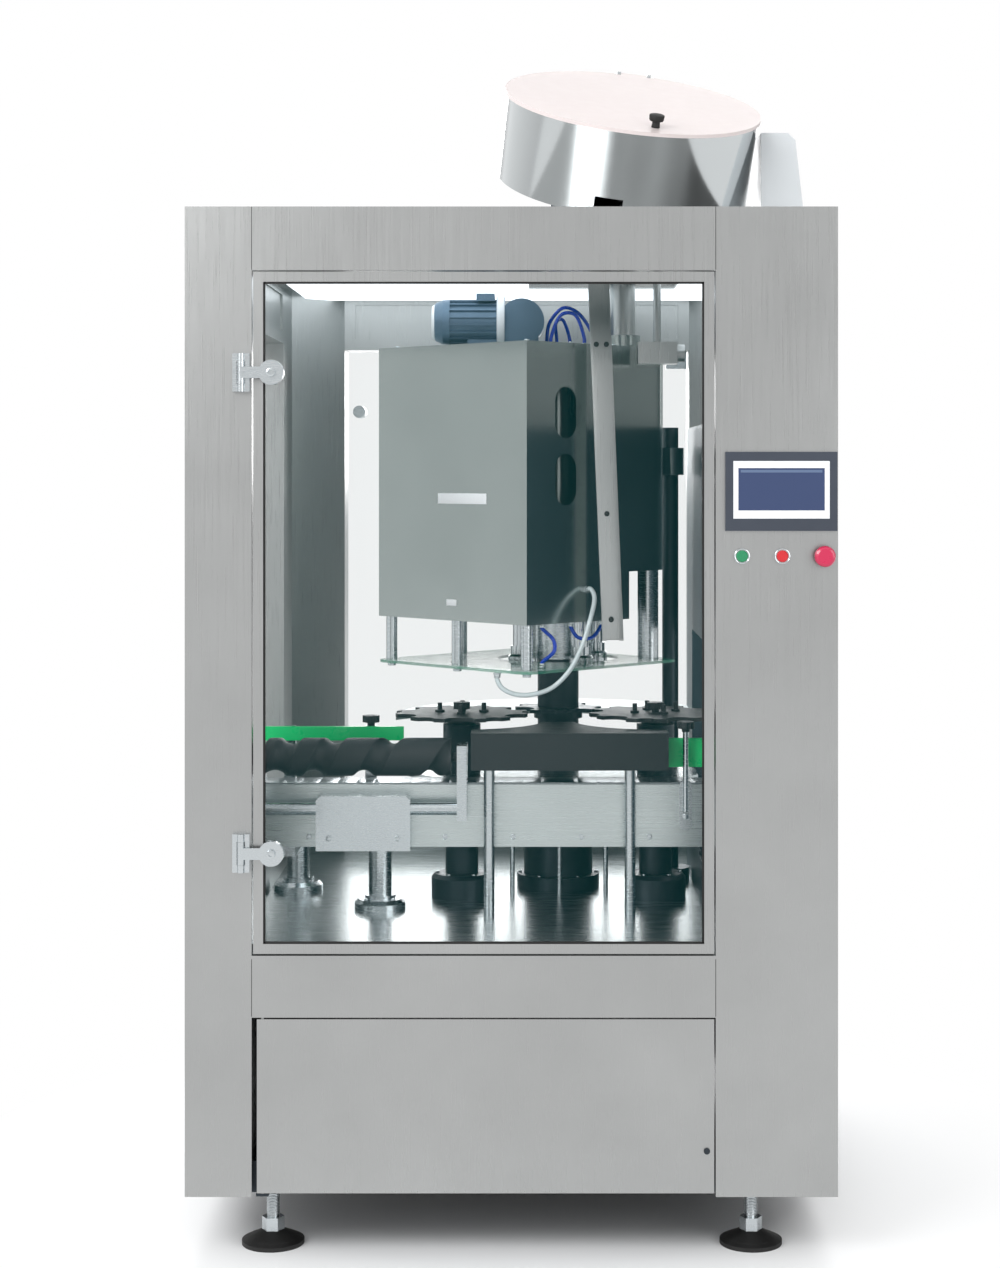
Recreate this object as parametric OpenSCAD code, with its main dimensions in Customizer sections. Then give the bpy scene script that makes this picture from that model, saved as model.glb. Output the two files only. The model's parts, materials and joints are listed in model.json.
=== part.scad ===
// Rotary screw capping machine: a free-standing cabinet with a bottle conveyor, a timing screw,
// star wheels, a four-spindle capping head and a tilted cap sorter on the roof.
// X runs along the conveyor, Y to the rear and Z up, from the floor under the cabinet's centre.
// A name that ends in _d or _dep holds a diameter or a depth behind the cabinet's front face.

/* [Cabinet] */
// Overall width of the cabinet
cab_w = 1250; // [1230:5:1270]
// Overall depth of the cabinet
cab_d = 1250; // [1230:5:1300]
// Height of the cabinet top above the floor
cab_top = 2015; // [1995:5:2040]
// Height of the cabinet underside above the floor
cab_bottom = 120; // [110:5:130]
// Width of the front left column
post_w = 128; // [122:1:132]
// Width of the front control column
control_w = 234; // [228:1:240]
// Depth of the front columns and the header
front_dep = 150; // [140:5:160]
// Thickness of the side frames
side_t = 96; // [90:1:100]
// Thickness of the rear frame
rear_t = 106; // [100:1:112]
// Sheet thickness of columns and panels
sheet = 3; // [2:0.5:4]
// Height of the header box
header_h = 118; // [110:1:126]
// Depth of the top beams below the roof sheet
beam_h = 211; // [200:1:220]
// Thickness of the roof cover sheet
roof_sheet = 4; // [3:0.5:5]
// Height of the ceiling pan under the roof sheet
pan_h = 89; // [80:1:95]
// Height of the side window sill above the floor
sill_z = 700; // [680:5:710]
// Thickness of the window panes
pane_t = 6; // [5:1:8]

/* [Table and base] */
// Height of the table top above the floor
table_z = 600; // [595:1:605]
// Thickness of the table plate
table_t = 18; // [15:1:20]
// Height of the base frame channel
base_h = 60; // [50:2:70]
// Width of the base frame channel
base_w = 200; // [180:5:220]
// Setback of the base frame behind the cabinet faces
base_inset = 30; // [28:1:36]
// Side of the square posts under the table
stand_w = 70; // [60:2:80]
// Distance of the feet from the cabinet's centre plane
foot_x = 467; // [450:1:480]
// Distance of the feet from the front and rear faces
foot_dep = 100; // [90:1:110]
// Diameter of a foot pad
pad_d = 122; // [110:1:130]
// Height of a foot pad
pad_h = 27; // [24:1:30]
// Diameter of a foot stem
stem_d = 24; // [20:1:26]

/* [Doors] */
// Height of the underside of the lower beam
beam_z = 463; // [455:1:470]
// Height of the lower beam
lower_beam_h = 115; // [110:1:118]
// Thickness of the sill strip on the lower beam
lip_t = 4; // [3:0.5:5]
// Gap round the front door
door_gap = 3; // [2.5:0.5:4]
// Width of the door frame's stiles
stile_w = 19; // [16:1:24]
// Thickness of the doors
door_t = 20; // [18:1:22]
// Height of the upper door hinge
hinge_hi_z = 1697; // [1650:1:1720]
// Height of the lower door hinge
hinge_lo_z = 779; // [750:1:820]
// Diameter of the round glass clamps
clamp_d = 48; // [44:1:52]

/* [Controls] */
// Width of the screen bezel
screen_w = 214; // [200:1:216]
// Height of the screen bezel
screen_h = 151; // [140:1:160]
// Height of the screen's centre
screen_z = 1470; // [1450:1:1500]
// Height of the row of buttons
button_z = 1346; // [1330:1:1360]
// Diameter of the hole for each button
button_hole = 22; // [21:0.5:23]
// Diameter of the mushroom button
mushroom_d = 40; // [36:1:44]

/* [Conveyor] */
// Depth of the bottle line behind the front face
line_dep = 380; // [378:1:384]
// Height of the conveyor's top above the floor
deck_z = 866; // [862:1:870]
// Width of the slat chain
chain_w = 82.5; // [80:0.5:86]
// Thickness of the slat chain
chain_t = 6; // [5:0.5:7]
// Width over the conveyor's side plates
frame_w = 100; // [98:1:102]
// Height of the conveyor's side plates
frame_h = 128; // [122:1:132]
// Diameter of the bottles that the machine handles
bottle_d = 60; // [56:1:62]

/* [Timing screw] */
// Outside diameter of the timing screw
screw_d = 78; // [74:1:80]
// Length of the timing screw
screw_len = 379; // [360:1:380]
// Left end of the timing screw
screw_x = -506; // [-507:1:-500]
// Height of the timing screw's axis
screw_z = 922; // [920:1:924]
// Pitch at the screw's infeed end
pitch_in = 64; // [62:1:72]
// Diameter of the screw's shaft
screw_shaft_d = 20; // [18:1:22]

/* [Stars] */
// Distance between the main star's and a side star's axis
star_gap = 240; // [238:1:242]
// Sideways place of the main axis
main_x = 95; // [92:1:98]
// Pockets of the main star, one for each spindle
main_n = 4; // [4]
// Pockets of a side star
side_n = 6; // [6]
// Height of the star plates' underside
star_z = 985; // [983:1:988]
// Thickness of the star plates
star_t = 8; // [6:1:10]
// Diameter of the main column
column_d = 90; // [84:1:92]
// Module of the drive gears
gear_m = 6; // [6]

/* [Capping head] */
// Side of the square housing
head_a = 457; // [450:1:460]
// Height of the housing
head_h = 581; // [560:1:584]
// Height of the housing's underside
head_z = 1194; // [1190:1:1200]
// Radius of the housing's round corner
head_r = 70; // [60:1:80]
// Side of the clear guard plate
guard_a = 470; // [462:1:474]
// Height of the guard plate's top
guard_z = 1100; // [1096:1:1104]
// Diameter of the standoffs
standoff_d = 24; // [20:1:26]
// Diameter of a capping chuck
chuck_d = 52; // [48:1:56]
// Diameter of the guide column beside the head
guide_d = 36; // [34:1:38]
// Diameter of the post under the ceiling
hang_d = 55; // [50:1:58]

/* [Cap supply] */
// Outside diameter of the sorter bowl
bowl_d = 550; // [530:2:560]
// Depth of the sorter bowl
bowl_h = 182; // [170:1:186]
// Wall thickness of the sorter bowl
bowl_wall = 4; // [3:0.5:5]
// Tilt of the sorter towards the front
bowl_tilt = 21.5; // [21:0.1:22]
// Sideways roll of the sorter
bowl_roll = 7; // [6.8:0.1:7.2]
// Width of the cap chute
chute_w = 44; // [40:1:46]
// Depth of the cap chute
chute_t = 24; // [20:1:26]

/* [Hidden] */
$fn = 64;
// Overrun of every cut past the face that it opens
over = 1;
// Gap between curved faces that seat on each other
seat = 0.3;
// Radial clearance of every running fit
fit = 0.05;

// Planes of the cabinet
y_front = -cab_d / 2;
y_rear = cab_d / 2;
x_wall = cab_w / 2;
x_post = post_w - x_wall;
x_ctrl = x_wall - control_w;
x_side = x_wall - side_t;
y_col = y_front + front_dep;
y_back = y_rear - rear_t;
z_frame = cab_bottom + base_h;
z_roof = cab_top - roof_sheet;
z_beam = z_roof - beam_h;
z_ceiling = z_roof - pan_h;
z_header = z_roof - header_h;
z_sill = beam_z + lower_beam_h + lip_t;
z_table = table_z - table_t;
window_share = 0.6792;
y_win = y_front + window_share * cab_d;
corner_flat = 170;
corner_run = 114;
x_corner = x_side - corner_run;
corner_miter_share = 0.39;
recess_margin = 26;
recess_dep = 5;

// Feet
boss_d = 64;
channel_wall = 6;
nut_flat = 44;
nut_h = 25;
pad_rim = 8;
pad_neck_share = 0.34;

// Doors
hinge_x = 19;
hinge_out = 12;
plate_w = 33;
plate_h = 73;
knuckle_d = 14;
knuckle_h = 44;
pin_d = 6;
arm_t = 6;
arm_h = 22;
clamp_reach = 58;
clamp_boss_share = 0.6;
glass_lap = 8;
flange_t = 6;
lower_left = 10;
lower_lift = 7;
pivot_in = 10;
pivot_dep = 8;
pivot_d = 8;
pivot_len = 6;
lug_t = 5;
lug_w = 24;
lock_d = 12;
lock_z = 208;
lock_in = 14;
cam_len = 26;
cam_w = 12;
cam_t = 3;
rear_knob_d = 30;
rear_knob_z = 1652;
rear_inset = 20;
patch_w = 50;
patch_h = 40;

// Controls
bezel_t = 8;
screen_in = 109;
screen_x = x_wall - screen_in;
body_share = 0.85;
body_t = 38;
view_w = 166;
view_h = 82;
view_up = 4;
view_t = 2;
start_in = 184;
stop_in = 107;
estop_in = 27;
start_x = x_wall - start_in;
stop_x = x_wall - stop_in;
estop_x = x_wall - estop_in;
collar_d = 30;
collar_t = 5;
sleeve_len = 12;
plunger_d = 16;
cap_d = 22.6;
cap_proud = 8;
cap_len = 5;
press = 3;
mush_proud = 27;
mush_t = 12;
mush_press = 5;

// Conveyor
y_line = y_front + line_dep;
frame_t = 4;
frame_lap = 4;
z_frame_lo = deck_z - chain_t - frame_h + frame_lap;
frame_lip = 2;
chain_r = 50;
chain_end = 55;
chain_z = deck_z - chain_r;
strip_t = 6;
strip_w = 15;
tie_h = 10;
tie_w = 30;
tie_n = 5;
sprocket_shaft_d = 24;
sprocket_n = 10;
sprocket_w = 40;
roller_d = 14;

// Timing screw: its grooves are the path of the bottles, cut to the bottle's own round
screw_off = 57;
y_screw = y_line - screw_off;
screw_r = screw_d / 2;
pitch_out = 2 * PI * star_gap / (main_n + side_n);
bottle_r = bottle_d / 2;
journal = 23;

// Stars
main_r = star_gap * main_n / (main_n + side_n);
side_r = star_gap * side_n / (main_n + side_n);
y_side = y_line + side_r;
side_dx = 207;
y_main = y_side + sqrt(star_gap * star_gap - side_dx * side_dx);
x_in = main_x - side_dx;
x_out = main_x + side_dx;
pocket_play = 1;
track_play = 2;
pocket_r = bottle_r + pocket_play;
track_r = bottle_r + track_play;
shaft_d = 25;
housing_d = 80;
housing_top = 968;
pedestal_d = 70;
pedestal_foot_d = 130;
pedestal_foot_h = 50;
main_pedestal_d = 150;
gear_z = 520;
gear_w = 30;
guide_h = 76;
guide_top = 975;
guide_x0 = -86;
guide_x1 = 317;
guide_dep = 280;
guide_back = 215;
ring_r = 355;
ring_t = 10;
transfer_r = 340;
transfer_t = 12;

// Head
head_x = 28;
head_dep = 603;
y_head = y_front + head_dep;
rim_t = 10;
turret_hole_d = 264;
hang_x = 233;
hang_dep = 560;
y_hang = y_front + hang_dep;
guide_x = 345;
guide_dep_y = 715;
y_guide = y_front + guide_dep_y;
spindle_r = main_r;
turret_z = 1216;
turret_d = 250;
turret_t = 18;
turret_top_z = 1380;
turret_hub_d = 118;
pinion_n = main_r / (gear_m / 2) * 3 / 8;
sun_n = main_r / (gear_m / 2) * 5 / 8;
turret_gear_z = 1412;
turret_gear_w = 16;
sun_wall = 8;

// Sorter
bowl_x = 258;
bowl_dep = 600;
bowl_z = 2312;
lid_t = 8;
lid_over = 5;
disc_gap = 9;
disc_t = 8;

// Helpers

// A box between two corners
module block(x0, x1, y0, y1, z0, z1) {
    translate([x0, y0, z0]) cube([x1 - x0, y1 - y0, z1 - z0]);
}

// A rod along Z, X or Y from one place to another
module rod_z(d, x, y, z0, z1) {
    translate([x, y, z0]) cylinder(d = d, h = z1 - z0);
}
module rod_x(d, x0, x1, y, z) {
    translate([x0, y, z]) rotate([0, 90, 0]) cylinder(d = d, h = x1 - x0);
}
module rod_y(d, x, y0, y1, z) {
    translate([x, y0, z]) rotate([-90, 0, 0]) cylinder(d = d, h = y1 - y0);
}

// A slot with round ends, drawn flat
module obround(w, h) {
    square([w, h - w], center = true);
    for (s = [-1, 1]) translate([0, s * (h - w) / 2]) circle(d = w);
}

// A spur gear outline with straight-flanked teeth, one tooth gap on the +X axis
tooth_share = [0.33, 0.23, 0.13];
function gear_points(m, n) = [for (i = [0:n - 1], p = [
        [m * n / 2 - 1.2 * m, 0.5 - tooth_share[0]], [m * n / 2, 0.5 - tooth_share[1]],
        [m * n / 2 + 0.9 * m, 0.5 - tooth_share[2]], [m * n / 2 + 0.9 * m, 0.5 + tooth_share[2]],
        [m * n / 2, 0.5 + tooth_share[1]], [m * n / 2 - 1.2 * m, 0.5 + tooth_share[0]]])
    p[0] * [cos((i + p[1]) * 360 / n), sin((i + p[1]) * 360 / n)]];
module gear(m, n, w, bore) {
    linear_extrude(w) difference() {
        polygon(gear_points(m, n));
        circle(d = bore);
    }
}

// A round tube swept along points; each ring stands square to the route
function unit(v) = v / norm(v);
function skin(n, s) = [[for (k = [0:s - 1]) k],
    for (i = [0:n - 1], k = [0:s - 1]) each [
        [i * s + k, (i + 1) * s + k, (i + 1) * s + (k + 1) % s],
        [i * s + k, (i + 1) * s + (k + 1) % s, i * s + (k + 1) % s]],
    [for (k = [0:s - 1]) n * s + s - 1 - k]];
function along(p, s) = let (i = min(floor(s), len(p) - 2), t = s - i,
        a = p[max(i - 1, 0)], b = p[i], c = p[i + 1], d = p[min(i + 2, len(p) - 1)])
    b + (c - a) * t / 2 + (2 * a - 5 * b + 4 * c - d) * t * t / 2 + (3 * b - a - 3 * c + d) * t * t * t / 2;
module hose(route, d, rings, sides = 8) {
    last = len(route) - 1;
    pts = [for (i = [0:rings]) along(route, i / rings * last)];
    dirs = [for (i = [0:rings]) i == 0 ? unit(route[1] - route[0]) : i == rings
        ? unit(route[last] - route[last - 1]) : unit(pts[i + 1] - pts[i - 1])];
    side = unit(cross(dirs[0], unit([0.31, 0.89, 0.33])));
    ring = [for (i = [0:rings]) let (u = unit(side - dirs[i] * (side * dirs[i])), v = cross(dirs[i], u))
        for (k = [0:sides - 1]) pts[i] + d / 2 * (u * cos(k * 360 / sides) + v * sin(k * 360 / sides))];
    polyhedron(ring, skin(rings, sides));
}

// Cabinet

// Hollow column or box of folded sheet, open underneath
module sheet_box(x0, x1, y0, y1, z0, z1) {
    difference() {
        block(x0, x1, y0, y1, z0, z1);
        block(x0 + sheet, x1 - sheet, y0 + sheet, y1 - sheet, z0 - over, z1 - sheet);
    }
}

// Outline of a rear corner column, on the left side of the cabinet
module corner_outline(s) {
    m = corner_miter_share * s;
    polygon([[-x_wall + s, y_win + s], [-x_side - s, y_win + s], [-x_side - s, y_win + corner_flat + m],
        [-x_corner - s, y_back + m], [-x_corner - s, y_rear - s], [-x_wall + s, y_rear - s]]);
}

module rear_corner() {
    difference() {
        translate([0, 0, z_frame]) linear_extrude(z_roof - z_frame) corner_outline(0);
        translate([0, 0, z_frame - over]) linear_extrude(z_roof - z_frame + over - sheet)
            corner_outline(sheet);
    }
    block(-x_wall, -x_wall + sheet, y_win, y_rear, cab_bottom, z_frame);
    block(-x_wall + sheet, -x_corner, y_rear - sheet, y_rear, cab_bottom, z_frame);
}

module corner_columns() color("silver") {
    sheet_box(-x_wall, x_post, y_front, y_col, z_frame, z_roof);
    block(-x_wall, x_post, y_front, y_front + sheet, cab_bottom, z_frame);
    block(-x_wall, -x_wall + sheet, y_front + sheet, y_col, cab_bottom, z_frame);
    rear_corner();
    mirror([1, 0, 0]) rear_corner();
}

module control_column() color("silver") difference() {
    union() {
        sheet_box(x_ctrl, x_wall, y_front, y_col, z_frame, z_roof);
        block(x_ctrl, x_wall, y_front, y_front + sheet, cab_bottom, z_frame);
        block(x_wall - sheet, x_wall, y_front + sheet, y_col, cab_bottom, z_frame);
    }
    translate([screen_x, y_front, screen_z])
        cube([screen_w * body_share, 2 * (sheet + over), screen_h * body_share], center = true);
    for (x = [start_x, stop_x, estop_x])
        rod_y(button_hole, x, y_front - over, y_front + sheet + over, button_z);
    block(x_ctrl - over, x_ctrl + sheet + over, y_front + door_t + cam_t / 2, y_front + door_t + 4 * cam_t,
        lock_z - cam_len, lock_z + cam_w);
}

module front_beams() color("silver") {
    difference() {
        block(x_post, x_ctrl, y_front, y_col, z_header, z_roof);
        block(x_post + sheet, x_ctrl - sheet, y_front + sheet, y_col + over, z_header + sheet, z_roof - sheet);
    }
    difference() {
        block(x_post, x_ctrl, y_front, y_col, beam_z, z_sill - lip_t);
        block(x_post + sheet, x_ctrl - sheet, y_front + sheet, y_col + over, beam_z + sheet,
            z_sill - lip_t - sheet);
        rod_z(pivot_d + 2 * fit, x_post + lower_left + pivot_in, y_front + pivot_dep, beam_z - over,
            beam_z + sheet + over);
    }
    block(x_post, x_ctrl, y_front - sheet, y_col, z_sill - lip_t, z_sill);
}

// A top beam on the left or right wall, with the shallow recess of its inner cover
module side_beam() {
    difference() {
        block(-x_wall, -x_side, y_col, y_win, z_beam, z_roof);
        block(-x_wall + sheet, -x_side - sheet - recess_dep, y_col + sheet, y_win - sheet, z_beam + sheet,
            z_roof + over);
        block(-x_side - recess_dep, -x_side + over, y_col + recess_margin, y_win - recess_margin,
            z_beam + recess_margin, z_ceiling - recess_margin / 2);
    }
}

module roof() color("silver") difference() {
    union() {
        side_beam();
        mirror([1, 0, 0]) side_beam();
        difference() {
            block(-x_corner, x_corner, y_back, y_rear, z_beam, z_roof);
            block(-x_corner + sheet, x_corner - sheet, y_back + sheet + recess_dep, y_rear - sheet,
                z_beam + sheet, z_roof + over);
            block(-x_corner + recess_margin, x_corner - recess_margin, y_back - over, y_back + recess_dep,
                z_beam + recess_margin, z_ceiling - recess_margin / 2);
        }
        difference() {
            pan_outline(z_ceiling, z_roof, 0);
            pan_outline(z_ceiling + sheet, z_roof + over, sheet);
        }
        block(-x_wall, x_wall, y_front, y_rear, z_roof, cab_top);
    }
    chute_hole();
}

// The ceiling pan fills the space between the beams, short of the rear corner covers
module pan_outline(z0, z1, s) {
    block(-x_side + s, x_side - s, y_col + s, y_win - s, z0, z1);
    block(-x_corner + s, x_corner - s, y_win - 2 * s, y_back - s, z0, z1);
}

// Opening for the cap chute through the ceiling and the roof
chute_gap = 5;
chute_y0 = y_front + 380;
chute_top_x = 172;
module chute_hole() {
    block(chute_top_x - chute_w / 2 - 2 * chute_gap, chute_top_x + chute_w / 2 + 2 * chute_gap,
        chute_y0 - chute_gap, chute_y0 + chute_t + chute_gap, z_beam, cab_top + over);
}

module side_panel() {
    sheet_box(-x_wall, -x_side, y_col, y_win, z_frame, sill_z);
    block(-x_wall, -x_wall + sheet, y_col, y_win, cab_bottom, z_frame);
}

vent_w = 120;
vent_h = 8;
vent_pitch = 24;
vent_n = 6;
vent_z = 400;
module lower_panels() color("silver") {
    side_panel();
    mirror([1, 0, 0]) side_panel();
    difference() {
        union() {
            sheet_box(-x_corner, x_corner, y_back, y_rear, z_frame, sill_z);
            block(-x_corner, x_corner, y_rear - sheet, y_rear, cab_bottom, z_frame);
        }
        for (s = [-1, 1], i = [0:vent_n - 1])
            translate([s * x_corner / 2, y_rear, vent_z + i * vent_pitch])
                cube([vent_w, 2 * (sheet + over), vent_h], center = true);
    }
}

// Bottle tunnel through the side windows and the partition
tunnel_h = 460;
tunnel_side = 70;
module tunnel(x0, x1) {
    block(x0, x1, y_line - tunnel_side, y_line + tunnel_side, sill_z - over, sill_z + tunnel_h);
}

module side_windows() color("lightcyan", 0.3) for (s = [0, 1]) mirror([s, 0, 0]) difference() {
    block(-x_wall + side_t / 2, -x_wall + side_t / 2 + pane_t, y_col, y_win, sill_z, z_beam);
    tunnel(-x_wall, -x_side);
}

partition_t = 4;
partition_top = 1605;
partition_flange = 40;
module partition_panel() color("darkslategray") difference() {
    union() {
        block(x_ctrl, x_ctrl + partition_t, y_col, y_win, table_z, partition_top);
        block(x_ctrl + partition_t, x_ctrl + partition_flange, y_win - partition_t, y_win, table_z,
            partition_top);
        block(x_ctrl + partition_t, x_ctrl + partition_flange, y_col, y_win - partition_t,
            partition_top - partition_t, partition_top);
    }
    tunnel(x_ctrl - over, x_ctrl + partition_t + over);
    block(x_ctrl - over, x_ctrl + partition_t + over, y_line, y_side + side_r + star_t, sill_z + star_t,
        sill_z + tunnel_h);
}

// Base and table

module ring_box(s, z0, z1) {
    difference() {
        block(-x_wall + base_inset + s, x_wall - base_inset - s, y_front + base_inset + s,
            y_rear - base_inset - s, z0, z1);
        block(-x_wall + base_inset + base_w - s, x_wall - base_inset - base_w + s,
            y_front + base_inset + base_w - s, y_rear - base_inset - base_w + s, z0 - over, z1 + over);
    }
}

module at_feet() {
    for (sx = [-1, 1], y = [y_front + foot_dep, y_rear - foot_dep]) translate([sx * foot_x, y, 0]) children();
}

stand_x = 430;
stand_dep = 265;
module base_frame() color("dimgray") difference() {
    union() {
        difference() {
            ring_box(0, cab_bottom, z_frame);
            ring_box(channel_wall, cab_bottom - over, z_frame - channel_wall);
        }
        at_feet() translate([0, 0, cab_bottom]) cylinder(d = boss_d, h = base_h - channel_wall / 2);
        for (sx = [-1, 1], y = [y_front + stand_dep, y_rear - stand_dep])
            translate([sx * stand_x, y, z_frame]) difference() {
                translate([-stand_w / 2, -stand_w / 2, 0]) cube([stand_w, stand_w, z_table - z_frame]);
                translate([-stand_w / 2 + channel_wall, -stand_w / 2 + channel_wall, channel_wall])
                    cube([stand_w - 2 * channel_wall, stand_w - 2 * channel_wall,
                        z_table - z_frame - 2 * channel_wall]);
            }
        translate([x_post + lower_left + pivot_in - lug_w / 2, y_front + sheet, cab_bottom])
            cube([lug_w, base_inset - sheet, lug_t]);
    }
    at_feet() translate([0, 0, cab_bottom - over])
        cylinder(d = stem_d + 2 * fit, h = base_h - 2 * channel_wall + over);
    rod_z(pivot_d + 2 * fit, x_post + lower_left + pivot_in, y_front + pivot_dep, cab_bottom - over,
        cab_bottom + lug_t + over);
}

module foot_screws() color("silver") at_feet() {
    translate([0, 0, pad_h]) cylinder(d = stem_d, h = z_frame - 3 * channel_wall - pad_h);
    difference() {
        translate([0, 0, pad_h + seat]) cylinder(d = nut_flat, h = nut_h, $fn = 6);
        translate([0, 0, pad_h]) cylinder(d = stem_d, h = nut_h + over);
    }
}

module foot_pads() color("black") at_feet() {
    cylinder(d = pad_d, h = pad_rim);
    translate([0, 0, pad_rim]) cylinder(d1 = pad_d, d2 = pad_d * pad_neck_share, h = pad_h - pad_rim);
}

module table_plate() color("gainsboro") difference() {
    union() {
        block(-x_side, x_side, y_col, y_back, z_table, table_z);
        block(x_post, x_ctrl, y_front + door_t + door_gap, y_col, z_table, table_z);
    }
    for (s = [0, 1]) mirror([s, 0, 0]) translate([0, 0, z_table - over])
        linear_extrude(table_t + 2 * over) corner_outline(0);
    rod_z(column_d + 2 * seat, main_x, y_main, z_table - over, table_z + over);
    for (x = [x_in, x_out]) rod_z(shaft_d + 2 * seat, x, y_side, z_table - over, table_z + over);
}

// Front door and lower door

door_x0 = x_post + door_gap;
door_x1 = x_ctrl - door_gap;
door_z0 = z_sill + door_gap;
door_z1 = z_header - door_gap;
module door_frame() color("silver") difference() {
    block(door_x0, door_x1, y_front, y_front + door_t, door_z0, door_z1);
    block(door_x0 + stile_w, door_x1 - stile_w, y_front - over, y_front + door_t + over, door_z0 + stile_w,
        door_z1 - stile_w);
    block(door_x0 + stile_w - glass_lap, door_x1 - stile_w + glass_lap, y_front + flange_t,
        y_front + door_t + over, door_z0 + stile_w - glass_lap, door_z1 - stile_w + glass_lap);
}

module door_glass() color("lightcyan", 0.25)
    block(door_x0 + stile_w - glass_lap, door_x1 - stile_w + glass_lap, y_front + flange_t,
        y_front + flange_t + pane_t, door_z0 + stile_w - glass_lap, door_z1 - stile_w + glass_lap);

// Hinge axis of the front door, just in front of the column
x_hinge = x_post - hinge_x;
y_hinge = y_front - hinge_out;
module at_hinges() {
    for (z = [hinge_lo_z, hinge_hi_z]) translate([0, 0, z]) children();
}

module door_hinge_plates() color("gainsboro") at_hinges() {
    difference() {
        block(x_hinge - plate_w / 2, x_hinge + plate_w / 2, y_front - hinge_out, y_front, -plate_h / 2,
            plate_h / 2);
        block(x_hinge - knuckle_d / 2 - over, x_hinge + knuckle_d / 2 + over, y_front - 2 * hinge_out,
            y_front - sheet, -knuckle_h / 2 - seat, knuckle_h / 2 + seat);
    }
    for (s = [-1, 1]) rod_z(knuckle_d, x_hinge, y_hinge, s > 0 ? knuckle_h / 2 + seat : -plate_h / 2,
        s > 0 ? plate_h / 2 : -knuckle_h / 2 - seat);
    rod_z(pin_d, x_hinge, y_hinge, -plate_h / 2, plate_h / 2);
}

module door_clamps() color("gainsboro") at_hinges() difference() {
    union() {
        rod_z(knuckle_d, x_hinge, y_hinge, -knuckle_h / 2, knuckle_h / 2);
        block(x_hinge, x_hinge + clamp_reach, y_hinge - knuckle_d / 2, y_hinge - knuckle_d / 2 + arm_t,
            -arm_h / 2, arm_h / 2);
        rod_y(clamp_d, x_hinge + clamp_reach, y_hinge - knuckle_d / 2, y_front - seat, 0);
        rod_y(clamp_d * clamp_boss_share, x_hinge + clamp_reach, y_front - over, y_front + flange_t, 0);
    }
    rod_z(pin_d + 2 * fit, x_hinge, y_hinge, -knuckle_h, knuckle_h);
}

lower_x0 = x_post + lower_left;
lower_z0 = cab_bottom + lower_lift;
lower_z1 = beam_z - door_gap;
module lower_door() color("silver") {
    difference() {
        block(lower_x0, door_x1, y_front, y_front + door_t, lower_z0, lower_z1);
        block(lower_x0 + 2 * pivot_in, door_x1 - 2 * lock_in, y_front + sheet, y_front + door_t + over,
            lower_z0 + 2 * pivot_in, lower_z1 - 2 * pivot_in);
        rod_y(lock_d + 2 * fit, door_x1 - lock_in, y_front - over, y_front + door_t + over, lock_z);
    }
    for (z = [lower_z0 - pivot_len, lower_z1])
        rod_z(pivot_d, lower_x0 + pivot_in, y_front + pivot_dep, z, z + pivot_len);
}

module lower_door_lock() color("dimgray") {
    rod_y(lock_d, door_x1 - lock_in, y_front - sheet, y_front + door_t + 2 * cam_t, lock_z);
    block(door_x1 - lock_in - cam_w / 2, door_x1 - lock_in + cam_w / 2, y_front + door_t + cam_t,
        y_front + door_t + 2 * cam_t, lock_z - cam_len, lock_z);
}

// Rear glass door on two patch hinges at its right edge
y_pane = y_rear - rear_t / 2;
rear_x0 = -x_corner + door_gap;
rear_x1 = x_corner - door_gap;
x_rear_hinge = x_corner - rear_inset;
y_rear_hinge = y_pane + pane_t / 2;
module rear_door() color("lightcyan", 0.3) difference() {
    block(rear_x0, rear_x1, y_pane, y_pane + pane_t, sill_z + door_gap, z_beam - door_gap);
    rod_y(pin_d, rear_x0 + rear_knob_d, y_pane - over, y_pane + pane_t + over, rear_knob_z);
}

module rear_door_fittings() color("gainsboro") {
    for (z = [sill_z, z_beam - patch_h - door_gap]) {
        z0 = z == sill_z ? sill_z + seat : z;
        z1 = z == sill_z ? sill_z + patch_h + door_gap : z_beam - seat;
        difference() {
            block(rear_x1 - patch_w, rear_x1, y_pane - pane_t, y_pane + 2 * pane_t, z0, z1);
            block(rear_x1 - patch_w - over, rear_x1 + over, y_pane, y_pane + pane_t,
                sill_z + door_gap, z_beam - door_gap);
        }
    }
    for (s = [-1, 1]) {
        y0 = s > 0 ? y_pane + pane_t : y_pane - rear_knob_d;
        rod_y(rear_knob_d, rear_x0 + rear_knob_d, y0, y0 + rear_knob_d, rear_knob_z);
    }
    rod_y(pin_d, rear_x0 + rear_knob_d, y_pane, y_pane + pane_t, rear_knob_z);
    rod_z(pin_d, x_rear_hinge, y_rear_hinge, sill_z, sill_z + door_gap);
    rod_z(pin_d, x_rear_hinge, y_rear_hinge, z_beam - door_gap, z_beam);
}

// Controls

module screen_bezel() color("#30343a") difference() {
    union() {
        translate([screen_x, y_front - bezel_t / 2, screen_z])
            cube([screen_w, bezel_t, screen_h], center = true);
        translate([screen_x, y_front + body_t / 2, screen_z])
            cube([screen_w * body_share, body_t, screen_h * body_share], center = true);
    }
    translate([screen_x, y_front - bezel_t, screen_z + view_up])
        cube([view_w, 2 * view_t, view_h], center = true);
}

module screen_panel() color("#5a6f8c")
    translate([screen_x, y_front - bezel_t + view_t / 2, screen_z + view_up])
        cube([view_w, view_t, view_h], center = true);

module button_collars() color("silver") for (x = [start_x, stop_x, estop_x]) difference() {
    union() {
        rod_y(collar_d, x, y_front - collar_t, y_front, button_z);
        rod_y(button_hole - 2 * fit, x, y_front, y_front + sleeve_len, button_z);
    }
    rod_y(plunger_d + 2 * fit, x, y_front - 2 * collar_t, y_front + sleeve_len + over, button_z);
    rod_y(cap_d + 2 * seat, x, y_front - 2 * collar_t, y_front - over, button_z);
}

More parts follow.
